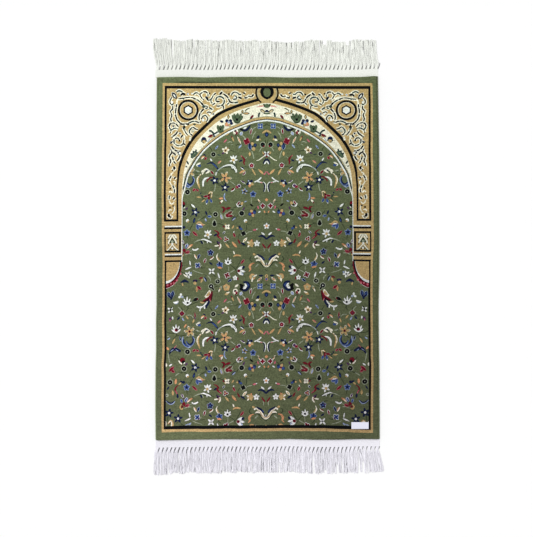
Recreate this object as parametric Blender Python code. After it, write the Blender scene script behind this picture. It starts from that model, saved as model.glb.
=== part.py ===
"""A woven prayer rug, laid flat on the plane z = 0 with the top of its niche towards +Y.

The pile body is one flat piece with a rounded rim. Each long side is overcast with yarn, which makes
a thin roll. A flat woven strip is sewn along each end, and its cords hang from it as the fringe. A
small woven label is sewn on near the foot. The origin is the middle of the rug's footprint.
"""

import math
import random

import bmesh
import bpy
import numpy as np

# All sizes are in metres. X runs across the rug, Y along it, Z up.
GAP = 0.0003

# The rug without its fringe, measured over the overcast sides.
RUG_WIDTH = 0.700
RUG_LENGTH = 1.137
PILE_HEIGHT = 0.009
RIM_RADIUS = 0.003
RIM_STEPS = 3
SIDE_STEP = 0.045
END_STEP = 0.0127

# Overcast sides: a roll of yarn, pressed flat underneath.
ROLL_WIDTH = 0.005
ROLL_HEIGHT = 0.0052
ROLL_FLAT_SHARE = 0.8
ROLL_POINTS = 8

# Woven strip at each end, from which the fringe hangs.
STRIP_WIDTH = 0.0235
STRIP_THICKNESS = 0.002

# Fringe: each bundle of cords leaves the strip at a slant, then parts into two locks.
BUNDLES = 55
LOCKS_PER_BUNDLE = 2
ROOT_WIDTH = 0.0040
ROOT_GAP = 0.0006
SLANT_LENGTH = 0.014
SLANT_SHIFT = 0.0055
LOCK_WIDTH = 0.0046
LOCK_HEIGHT = 0.0026
TIP_WIDTH = 0.0026
TIP_HEIGHT = 0.0014
LENGTH_JITTER = 0.003
SIDE_JITTER = 0.0002
WAVE_SIZE = 0.0006
WAVE_LENGTH = 0.070
WAVE_SPREAD = 0.110
FRINGE_SEED = 7

# Label, sewn on top of the pile near the foot.
LABEL_WIDTH = 0.054
LABEL_LENGTH = 0.0215
LABEL_THICKNESS = 0.001
LABEL_CENTRE = (0.2893, -0.5245)

# How far the two long sides stray outwards from straight, along the rug.
SIDE_COLUMNS = ("y", "left", "right")
SIDE_STRAY = (
    (-0.568, 0.0020, 0.0016),
    (-0.476, 0.0028, 0.0015),
    (-0.429, 0.0028, 0.0010),
    (-0.335, 0.0022, 0.0006),
    (-0.288, 0.0007, -0.0002),
    (-0.194, 0.0009, -0.0014),
    (-0.147, -0.0005, -0.0016),
    (-0.053, -0.0007, 0.0004),
    (0.041, -0.0008, 0.0009),
    (0.182, -0.0003, 0.0007),
    (0.323, -0.0003, 0.0000),
    (0.465, -0.0007, -0.0022),
    (0.558, -0.0015, -0.0039),
)

# How far the two ends stray outwards from straight, across the rug.
END_COLUMNS = ("x", "head", "foot")
END_STRAY = (
    (-0.344, -0.0007, 0.0026),
    (-0.268, 0.0002, 0.0009),
    (-0.193, -0.0014, -0.0001),
    (-0.118, 0.0003, -0.0012),
    (-0.005, 0.0002, -0.0001),
    (0.070, -0.0018, -0.0020),
    (0.145, -0.0013, 0.0004),
    (0.220, -0.0007, 0.0003),
    (0.295, -0.0002, -0.0017),
    (0.333, 0.0024, -0.0012),
)

# The strips: which way each end faces, and how far the strip reaches past the two sides.
STRIP_COLUMNS = ("end", "outwards", "past_left", "past_right")
STRIPS = (
    ("head", 1, 0.0045, 0.0000),
    ("foot", -1, 0.0000, 0.0000),
)

# The locks' sideways lean at the tip, and their reach from the strip, across the rug.
LOCK_COLUMNS = ("x", "head_lean", "head_reach", "foot_lean", "foot_reach")
LOCK_ROWS = (
    (-0.352, -0.0160, 0.0975, 0.0015, 0.080),
    (-0.330, -0.0080, 0.0975, 0.0000, 0.082),
    (-0.300, -0.0020, 0.0910, -0.0015, 0.079),
    (-0.230, 0.0015, 0.0920, 0.0020, 0.076),
    (-0.150, -0.0010, 0.0900, -0.0015, 0.077),
    (-0.080, 0.0015, 0.0900, 0.0015, 0.073),
    (0.000, -0.0010, 0.0880, -0.0015, 0.076),
    (0.057, 0.0010, 0.0820, 0.0010, 0.073),
    (0.145, 0.0010, 0.0900, -0.0010, 0.077),
    (0.230, -0.0030, 0.0830, 0.0020, 0.073),
    (0.300, -0.0075, 0.0910, 0.0070, 0.076),
    (0.350, -0.0150, 0.0850, 0.0150, 0.071),
)
LOCK_STATIONS = (0.40, 0.74, 1.0)

# Each finish: its colour in linear light, and its roughness.
FINISHES = {
    "pile": ((0.135, 0.165, 0.085), 0.95),
    "overcast": ((0.170, 0.185, 0.095), 0.90),
    "cotton": ((0.800, 0.800, 0.780), 0.85),
    "satin": ((0.820, 0.800, 0.860), 0.50),
}


def read_row(rows, columns, name, place):
    """One column of a table at a place along its first column, on straight lines between the rows."""
    places = [row[0] for row in rows]
    values = [row[columns.index(name)] for row in rows]
    return float(np.interp(place, places, values))


def strayed(x, y):
    """Where a point of the true rectangle lies, once the sides and the ends wander."""
    across = min(max(x / RUG_WIDTH + 0.5, 0.0), 1.0)
    along = min(max(y / RUG_LENGTH + 0.5, 0.0), 1.0)
    left = read_row(SIDE_STRAY, SIDE_COLUMNS, "left", y)
    right = read_row(SIDE_STRAY, SIDE_COLUMNS, "right", y)
    head = read_row(END_STRAY, END_COLUMNS, "head", x)
    foot = read_row(END_STRAY, END_COLUMNS, "foot", x)
    return x + across * right - (1 - across) * left, y + along * head - (1 - along) * foot


def clear_scene():
    for obj in list(bpy.data.objects):
        bpy.data.objects.remove(obj)


def make_finish(name):
    colour, roughness = FINISHES[name]
    material = bpy.data.materials.new(name)
    material.use_nodes = True
    shader = material.node_tree.nodes["Principled BSDF"]
    shader.inputs["Base Color"].default_value = (*colour, 1.0)
    shader.inputs["Roughness"].default_value = roughness
    shader.inputs["Metallic"].default_value = 0.0
    return material


def add_solid(name, mesh, finish):
    """Turn a closed bmesh into a named object with its own finish, its faces pointing out."""
    bmesh.ops.recalc_face_normals(mesh, faces=mesh.faces)
    data = bpy.data.meshes.new(name)
    mesh.to_mesh(data)
    mesh.free()
    data.materials.append(make_finish(finish))
    bpy.context.scene.collection.objects.link(bpy.data.objects.new(name, data))


def bridge(mesh, rings):
    """Join rings of vertices, each of the same count, with quads, and cap the first and the last."""
    count = len(rings[0])
    for near, far in zip(rings, rings[1:]):
        for i in range(count):
            j = (i + 1) % count
            mesh.faces.new((near[i], near[j], far[j], far[i]))
    mesh.faces.new(rings[0])
    mesh.faces.new(rings[-1])


def spaced(low, high, step):
    """Even places from low to high, about a step apart."""
    return [float(place) for place in np.linspace(low, high, round((high - low) / step) + 1)]


def rug_outline(inset):
    """The pile's outline, anticlockwise, drawn in by an inset on all four sides."""
    half_width = RUG_WIDTH / 2 - ROLL_WIDTH - GAP - inset
    half_length = RUG_LENGTH / 2 - inset
    xs = spaced(-half_width, half_width, END_STEP)
    ys = spaced(-half_length, half_length, SIDE_STEP)
    corners = [(x, -half_length) for x in xs[:-1]]
    corners += [(half_width, y) for y in ys[:-1]]
    corners += [(x, half_length) for x in reversed(xs[1:])]
    corners += [(-half_width, y) for y in reversed(ys[1:])]
    return [strayed(x, y) for x, y in corners]


def make_body():
    """The pile and its woven back in one piece, with a rounded rim along the top."""
    levels = [(0.0, 0.0)]
    for step in range(RIM_STEPS + 1):
        turn = math.radians(90) * step / RIM_STEPS
        height = PILE_HEIGHT - RIM_RADIUS * (1 - math.sin(turn))
        levels.append((RIM_RADIUS * (1 - math.cos(turn)), height))
    mesh = bmesh.new()
    rings = []
    for inset, height in levels:
        rings.append([mesh.verts.new((x, y, height)) for x, y in rug_outline(inset)])
    bridge(mesh, rings)
    add_solid("rug_body", mesh, "pile")


def roll_section():
    """The overcast roll's section, as distances outwards from its inner face and heights."""
    middle = ROLL_HEIGHT * ROLL_FLAT_SHARE / (1 + ROLL_FLAT_SHARE)
    radius = ROLL_HEIGHT - middle
    dip = math.asin(ROLL_FLAT_SHARE)
    section = []
    for i in range(ROLL_POINTS):
        turn = -dip + (math.pi + 2 * dip) * i / (ROLL_POINTS - 1)
        out = ROLL_WIDTH / 2 * (1 + math.cos(turn))
        section.append((out, middle + radius * math.sin(turn)))
    return section


def make_side(name, facing):
    """The overcast roll along one long side: facing is -1 on the left and 1 on the right."""
    mesh = bmesh.new()
    rings = []
    for y in spaced(-RUG_LENGTH / 2, RUG_LENGTH / 2, SIDE_STEP):
        ring = []
        for out, height in roll_section():
            x, strayed_y = strayed(facing * (RUG_WIDTH / 2 - ROLL_WIDTH + out), y)
            ring.append(mesh.verts.new((x, strayed_y, max(height, 0.0))))
        rings.append(ring)
    bridge(mesh, rings)
    add_solid(name, mesh, "overcast")


def lock_path(end, outwards, root_x, even_x, rng):
    """A lock's centre line from its root: distance sideways from the root, and out from the strip."""
    lean = read_row(LOCK_ROWS, LOCK_COLUMNS, end + "_lean", root_x)
    reach = read_row(LOCK_ROWS, LOCK_COLUMNS, end + "_reach", root_x)
    reach += rng.uniform(-LENGTH_JITTER, LENGTH_JITTER)
    slanted = outwards * SLANT_SHIFT + even_x - root_x
    path = [(slanted, SLANT_LENGTH)]
    for share in LOCK_STATIONS:
        out = SLANT_LENGTH + (reach - SLANT_LENGTH) * share
        wave = WAVE_SIZE * math.sin(math.tau * (out / WAVE_LENGTH + root_x / WAVE_SPREAD))
        aside = slanted + lean * math.sin(share * math.pi / 2) + wave
        path.append((aside + rng.uniform(-SIDE_JITTER, SIDE_JITTER), out))
    return path


def grow_lock(mesh, root, outwards, path):
    """Carry a root face of the strip out along the lock's path, as four-sided sections on the floor."""
    root_x = sum(vert.co.x for vert in root) / len(root)
    root_y = sum(vert.co.y for vert in root) / len(root)
    last = len(path) - 1
    near = root
    for i, (aside, out) in enumerate(path):
        width = TIP_WIDTH if i == last else LOCK_WIDTH
        height = TIP_HEIGHT if i == last else LOCK_HEIGHT
        low_x = root_x + aside - width / 2
        high_x = root_x + aside + width / 2
        y = root_y + outwards * out
        corners = ((low_x, 0.0), (high_x, 0.0), (high_x, height), (low_x, height))
        far = [mesh.verts.new((x, y, z)) for x, z in corners]
        for j in range(4):
            k = (j + 1) % 4
            mesh.faces.new((near[j], near[k], far[k], far[j]))
        near = far
    mesh.faces.new(near)


def make_fringe(end, outwards, past_left, past_right):
    """A woven strip along one end, with its locks growing out of its outer edge."""
    rng = random.Random(FRINGE_SEED + outwards)
    left = -RUG_WIDTH / 2 - past_left
    pitch = (RUG_WIDTH + past_left + past_right) / BUNDLES
    slit = pitch - LOCKS_PER_BUNDLE * ROOT_WIDTH - (LOCKS_PER_BUNDLE - 1) * ROOT_GAP
    inner_y = outwards * (RUG_LENGTH / 2 + GAP)
    outer_y = inner_y + outwards * STRIP_WIDTH
    mesh = bmesh.new()

    def column(x, y):
        """The strip's lower and upper vertex at one place of its edge."""
        strayed_x, strayed_y = strayed(x, y)
        return [mesh.verts.new((strayed_x, strayed_y, z)) for z in (0.0, STRIP_THICKNESS)]

    inner = [column(left, inner_y)]
    outer = [column(left, outer_y)]
    first = (inner[0], outer[0])
    for bundle in range(BUNDLES):
        start = left + bundle * pitch
        edges = [start + slit / 2]
        for _ in range(LOCKS_PER_BUNDLE):
            edges += [edges[-1] + ROOT_WIDTH, edges[-1] + ROOT_WIDTH + ROOT_GAP]
        edges[-1] = start + pitch
        inner = [inner[-1], column(start + pitch, inner_y)]
        outer = [outer[-1]] + [column(x, outer_y) for x in edges]
        for level in range(2):
            mesh.faces.new([pair[level] for pair in inner] + [pair[level] for pair in reversed(outer)])
        mesh.faces.new((inner[0][0], inner[1][0], inner[1][1], inner[0][1]))
        for i, (near, far) in enumerate(zip(outer, outer[1:])):
            corners = (near[0], far[0], far[1], near[1])
            if i % 2 == 0:
                mesh.faces.new(corners)
                continue
            lock = i // 2
            root_x = (edges[i - 1] + edges[i]) / 2
            even_x = start + pitch * (lock + 0.5) / LOCKS_PER_BUNDLE
            path = lock_path(end, outwards, root_x, even_x, rng)
            grow_lock(mesh, corners, outwards, path)
    for near, far in (first, (inner[-1], outer[-1])):
        mesh.faces.new((near[0], near[1], far[1], far[0]))
    add_solid("fringe_" + end, mesh, "cotton")


def make_label():
    """The label: a thin rectangle a hair above the pile."""
    low_z = PILE_HEIGHT + GAP
    mesh = bmesh.new()
    bmesh.ops.create_cube(mesh, size=1.0)
    for vert in mesh.verts:
        vert.co.x = LABEL_CENTRE[0] + vert.co.x * LABEL_WIDTH
        vert.co.y = LABEL_CENTRE[1] + vert.co.y * LABEL_LENGTH
        vert.co.z = low_z + (vert.co.z + 0.5) * LABEL_THICKNESS
    add_solid("label", mesh, "satin")


def centre_rug():
    """Move every piece by the same amount, so that the middle of the footprint is the origin."""
    solids = [obj for obj in bpy.data.objects if obj.type == "MESH"]
    for axis in range(2):
        places = [vert.co[axis] for solid in solids for vert in solid.data.vertices]
        middle = (min(places) + max(places)) / 2
        for solid in solids:
            for vert in solid.data.vertices:
                vert.co[axis] -= middle


clear_scene()
make_body()
make_side("side_left", -1)
make_side("side_right", 1)
for strip in STRIPS:
    make_fringe(**dict(zip(STRIP_COLUMNS, strip)))
make_label()
centre_rug()
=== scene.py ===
"""A woven prayer rug lying flat: pile, overcast sides, woven ends with their fringe, and a sewn label.

The sections follow the rug as it is put together. X runs across it, Y along it towards the top of the
niche, Z up out of the pile, all in metres.
"""

import math
import random

import bmesh
import bpy
import numpy as np
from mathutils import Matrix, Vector, geometry


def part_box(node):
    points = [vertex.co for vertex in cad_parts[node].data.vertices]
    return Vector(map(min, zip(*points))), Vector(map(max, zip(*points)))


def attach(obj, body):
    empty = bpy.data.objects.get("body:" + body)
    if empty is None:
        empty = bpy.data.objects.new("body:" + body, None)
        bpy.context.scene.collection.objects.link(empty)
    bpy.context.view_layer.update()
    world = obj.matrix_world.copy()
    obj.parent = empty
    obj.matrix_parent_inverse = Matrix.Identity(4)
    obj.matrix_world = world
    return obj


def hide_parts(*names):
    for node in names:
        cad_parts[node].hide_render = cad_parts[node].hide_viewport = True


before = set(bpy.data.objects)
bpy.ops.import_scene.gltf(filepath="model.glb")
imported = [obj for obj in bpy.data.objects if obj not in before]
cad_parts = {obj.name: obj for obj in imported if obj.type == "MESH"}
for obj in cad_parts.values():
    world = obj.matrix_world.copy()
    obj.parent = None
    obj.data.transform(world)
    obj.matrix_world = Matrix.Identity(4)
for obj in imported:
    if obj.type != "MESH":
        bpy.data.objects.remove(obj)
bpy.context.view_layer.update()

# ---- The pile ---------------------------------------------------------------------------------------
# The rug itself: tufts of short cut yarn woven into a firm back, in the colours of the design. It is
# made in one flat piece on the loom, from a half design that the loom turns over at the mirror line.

RUG_WIDTH = 0.700
RUG_LENGTH = 1.137
RUG_CENTRE = (0.00114, -0.00612)
# The pile stops this far inside the rug's width, and leaves the rest to the overcast sides.
SIDE_ROOM = 0.0053
PILE_HEIGHT = 0.009
# The rounded rim of the top: how far in from the edge, and how high there.
RIM_LEVELS = ((0.0, 0.0060), (0.0004, 0.0075), (0.0015, 0.0086), (0.0030, PILE_HEIGHT))
# The foot of the pile's wall is cut back by this much, as high as it is deep.
BACK_EDGE = 0.0006

# How far each side and end wanders outwards: place along it, then left and right, or head and foot.
SIDE_STRAY = (
    (-0.568, 0.0020, 0.0016), (-0.476, 0.0028, 0.0015), (-0.429, 0.0028, 0.0010),
    (-0.335, 0.0022, 0.0006), (-0.288, 0.0007, -0.0002), (-0.194, 0.0009, -0.0014),
    (-0.147, -0.0005, -0.0016), (-0.053, -0.0007, 0.0004), (0.041, -0.0008, 0.0009),
    (0.182, -0.0003, 0.0007), (0.323, -0.0003, 0.0), (0.465, -0.0007, -0.0022),
    (0.558, -0.0015, -0.0039),
)
END_STRAY = (
    (-0.344, -0.0007, 0.0026), (-0.268, 0.0002, 0.0009), (-0.193, -0.0014, -0.0001),
    (-0.118, 0.0003, -0.0012), (-0.005, 0.0002, -0.0001), (0.070, -0.0018, -0.0020),
    (0.145, -0.0013, 0.0004), (0.220, -0.0007, 0.0003), (0.295, -0.0002, -0.0017),
    (0.333, 0.0024, -0.0012),
)


def strayed(x, y):
    """Where points of the true rectangle lie, once the sides and the ends wander."""
    x, y = np.asarray(x, float), np.asarray(y, float)
    side, end = np.array(SIDE_STRAY).T, np.array(END_STRAY).T
    across = np.clip(x / RUG_WIDTH + 0.5, 0, 1)
    along = np.clip(y / RUG_LENGTH + 0.5, 0, 1)
    out_x = across * np.interp(y, side[0], side[2]) - (1 - across) * np.interp(y, side[0], side[1])
    out_y = along * np.interp(x, end[0], end[1]) - (1 - along) * np.interp(x, end[0], end[2])
    return x + out_x + RUG_CENTRE[0], y + out_y + RUG_CENTRE[1]


# The design is charted in squares: columns from the mirror line, so that those of the left half are
# below zero, and rows down from near the pile's top edge. Sizes in the chart are in squares too.
SQUARE = 0.0031334
HALF_COLUMNS = (RUG_WIDTH / 2 - SIDE_ROOM) / SQUARE
MIDDLE_ROW = 181.2
TOP_ROW = MIDDLE_ROW - RUG_LENGTH / 2 / SQUARE
FOOT_ROW = MIDDLE_ROW + RUG_LENGTH / 2 / SQUARE
# The mirror line's own column at two rows.
MIRROR_DRIFT = ((0, -0.4), (362, -1.6))
# A shape that crosses the mirror line ends at this column, on its far side.
PAST_MIRROR = 3.0

# The yarns of the design, in linear light.
YARNS = {
    "g": (0.122, 0.146, 0.072),  # green ground
    "t": (0.515, 0.365, 0.160),  # tan
    "k": (0.0030, 0.0036, 0.0046),  # black
    "w": (0.840, 0.870, 0.840),  # white
    "c": (0.890, 0.860, 0.700),  # cream
    "r": (0.165, 0.0078, 0.0190),  # red
    "p": (0.560, 0.150, 0.190),  # pink
    "n": (0.0070, 0.0135, 0.0520),  # navy
    "b": (0.0400, 0.0800, 0.2450),  # blue
    "l": (0.330, 0.410, 0.580),  # light blue
    "u": (0.080, 0.030, 0.100),  # purple
    "o": (0.670, 0.325, 0.155),  # orange
    "d": (0.0300, 0.0550, 0.0500),  # deep teal
    "s": (0.330, 0.370, 0.270),  # sage
    "e": (0.042, 0.058, 0.028),  # dark green
    "y": (0.090, 0.135, 0.075),  # moss
}

# All that is woven into the ground, as an outline and its yarn, each over what is there before it.
shapes = []


def fill(points, yarn):
    """Weave a closed outline of chart points in one yarn."""
    shapes.append((np.asarray(points, float).reshape(-1, 2), yarn))


def bow(points, step=1.3):
    """A smooth path through chart points, with about one point for each step."""
    pts = np.asarray(points, float).reshape(-1, 2)
    if len(pts) < 3:
        return pts
    ends = np.vstack([2 * pts[0] - pts[1], pts, 2 * pts[-1] - pts[-2]])
    path = []
    for a, b, c, d in zip(ends, ends[1:], ends[2:], ends[3:]):
        count = max(1, round(float(np.hypot(*(c - b))) / step))
        t = np.arange(count)[:, None] / count
        path.append(0.5 * (2 * b + (c - a) * t + (2 * a - 5 * b + 4 * c - d) * t**2
                           + (3 * b - a - 3 * c + d) * t**3))
    return np.vstack([*path, pts[-1]])


def sideways(path):
    """A unit vector to the left of a path at each of its points."""
    run = np.gradient(path, axis=0)
    run /= np.maximum(np.hypot(run[:, 0], run[:, 1]), 1e-9)[:, None]
    return np.column_stack([run[:, 1], -run[:, 0]])


def line(points, width, yarn, start=1.0, end=1.0):
    """Weave a line along the points. Towards each end it narrows to a share of its width."""
    path = bow(points)
    t = np.linspace(0, 1, len(path))
    share = np.interp(t, (0, 0.35, 0.65, 1), (start, 1, 1, end))
    aside = sideways(path) * (width / 2 * share)[:, None]
    fill(np.vstack([path + aside, (path - aside)[::-1]]), yarn)


def disc(x, y, radius, yarn, squash=1.0):
    turn = np.linspace(0, math.tau, max(8, round(radius * 5)) + 1)[:-1]
    fill(np.column_stack([x + radius * np.cos(turn), y + radius * squash * np.sin(turn)]), yarn)


def leaf(x, y, heading, reach, width, yarn):
    """Weave a leaf or petal from its root. Headings turn clockwise from the top."""
    turn = math.radians(heading)
    along = np.array([math.sin(turn), -math.cos(turn)])
    aside = np.array([math.cos(turn), math.sin(turn)])
    t = np.linspace(0, 1, 6)
    plump = np.sin(np.pi * t**1.1) ** 0.75
    middle = np.outer(reach * t, along) + (x, y)
    half = np.outer(width / 2 * plump, aside)
    fill(np.vstack([(middle + half)[:-1], (middle - half)[:0:-1]]), yarn)


# Each motif is petals set round a root or a middle: their headings, and their share of its reach.
PETALS = {
    "leaf": ((0, 1.0),),
    "pair": ((-36, 1.0), (36, 1.0)),
    "tulip": ((-42, 0.95), (42, 0.95), (0, 1.0)),
    "lotus": ((-68, 0.62), (68, 0.62), (-36, 0.85), (36, 0.85), (0, 1.0)),
    "three": ((0, 1.0), (120, 1.0), (240, 1.0)),
    "four": ((0, 1.0), (90, 1.0), (180, 1.0), (270, 1.0)),
    "star": ((0, 1.0), (74, 1.05), (128, 0.95), (210, 1.0), (300, 0.95)),
    "five": ((0, 1.0), (72, 1.0), (144, 1.0), (216, 1.0), (288, 1.0)),
    "bloom": ((-49, 0.66), (49, 0.66), (-24, 0.86), (24, 0.86), (0, 1.0)),
    "daisy": ((-38, 1.0), (0, 1.0), (38, 1.15), (88, 0.9), (158, 0.85), (246, 0.8)),
    "bud": (),
}
# Petals in these yarns look wider than they are, so they are woven slimmer.
WIDE_LOOKING = "cw"
SLIMMER = 0.86
# Petals in these yarns have a thin dark edge, unless they are very slim or have another edge.
DARK_EDGED = "cwtopl"
SLIM = 1.3
DARK_EDGE = 0.3
CHARTED_EDGE = 0.35
# A bud is a disc a little larger than charted, and its edge is larger still.
BUD_SPARE, BUD_EDGE, SAGE_BUD_EDGE = 0.15, 0.5, 0.8
# A lotus has a disc behind its petals: how far out, by its reach, and how large, by its width.
CUP_OUT, CUP_SIZE = 0.22, 0.85
# The heart of a lotus or tulip lies this share of its reach out from the root.
HEART_OUT = 0.28


def motif(x, y, kind, heading, reach, width, yarns, edge="", heart=""):
    """Weave a flower or leaf. Petals take the yarns in turn, and a heart is a yarn and a radius."""
    petals = PETALS[kind]
    grown = CHARTED_EDGE
    if yarns[0] in WIDE_LOOKING:
        width *= SLIMMER
    if not edge and yarns[0] in DARK_EDGED and width > SLIM:
        edge, grown = "e", DARK_EDGE
    sine, cosine = math.sin(math.radians(heading)), math.cos(math.radians(heading))
    if kind == "leaf":
        # A leaf is charted by its middle, and woven from its root.
        x, y = x - reach / 2 * sine, y + reach / 2 * cosine
    if kind == "bud":
        if edge:
            disc(x, y, reach + (SAGE_BUD_EDGE if edge == "s" else BUD_EDGE), edge)
        disc(x, y, reach + BUD_SPARE, yarns[0])
    if kind == "lotus":
        disc(x + CUP_OUT * reach * sine, y - CUP_OUT * reach * cosine, width * CUP_SIZE, yarns[0])
    if edge:
        for aside, share in petals:
            leaf(x, y, heading + aside, reach * share + grown, width + 2 * grown, edge)
    for i, (aside, share) in enumerate(petals):
        leaf(x, y, heading + aside, reach * share, width, yarns[i % len(yarns)])
    if heart:
        out = HEART_OUT * reach if kind in ("lotus", "tulip") else 0.0
        disc(x + out * sine, y - out * cosine, float(heart[1:]), heart[0])


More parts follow.
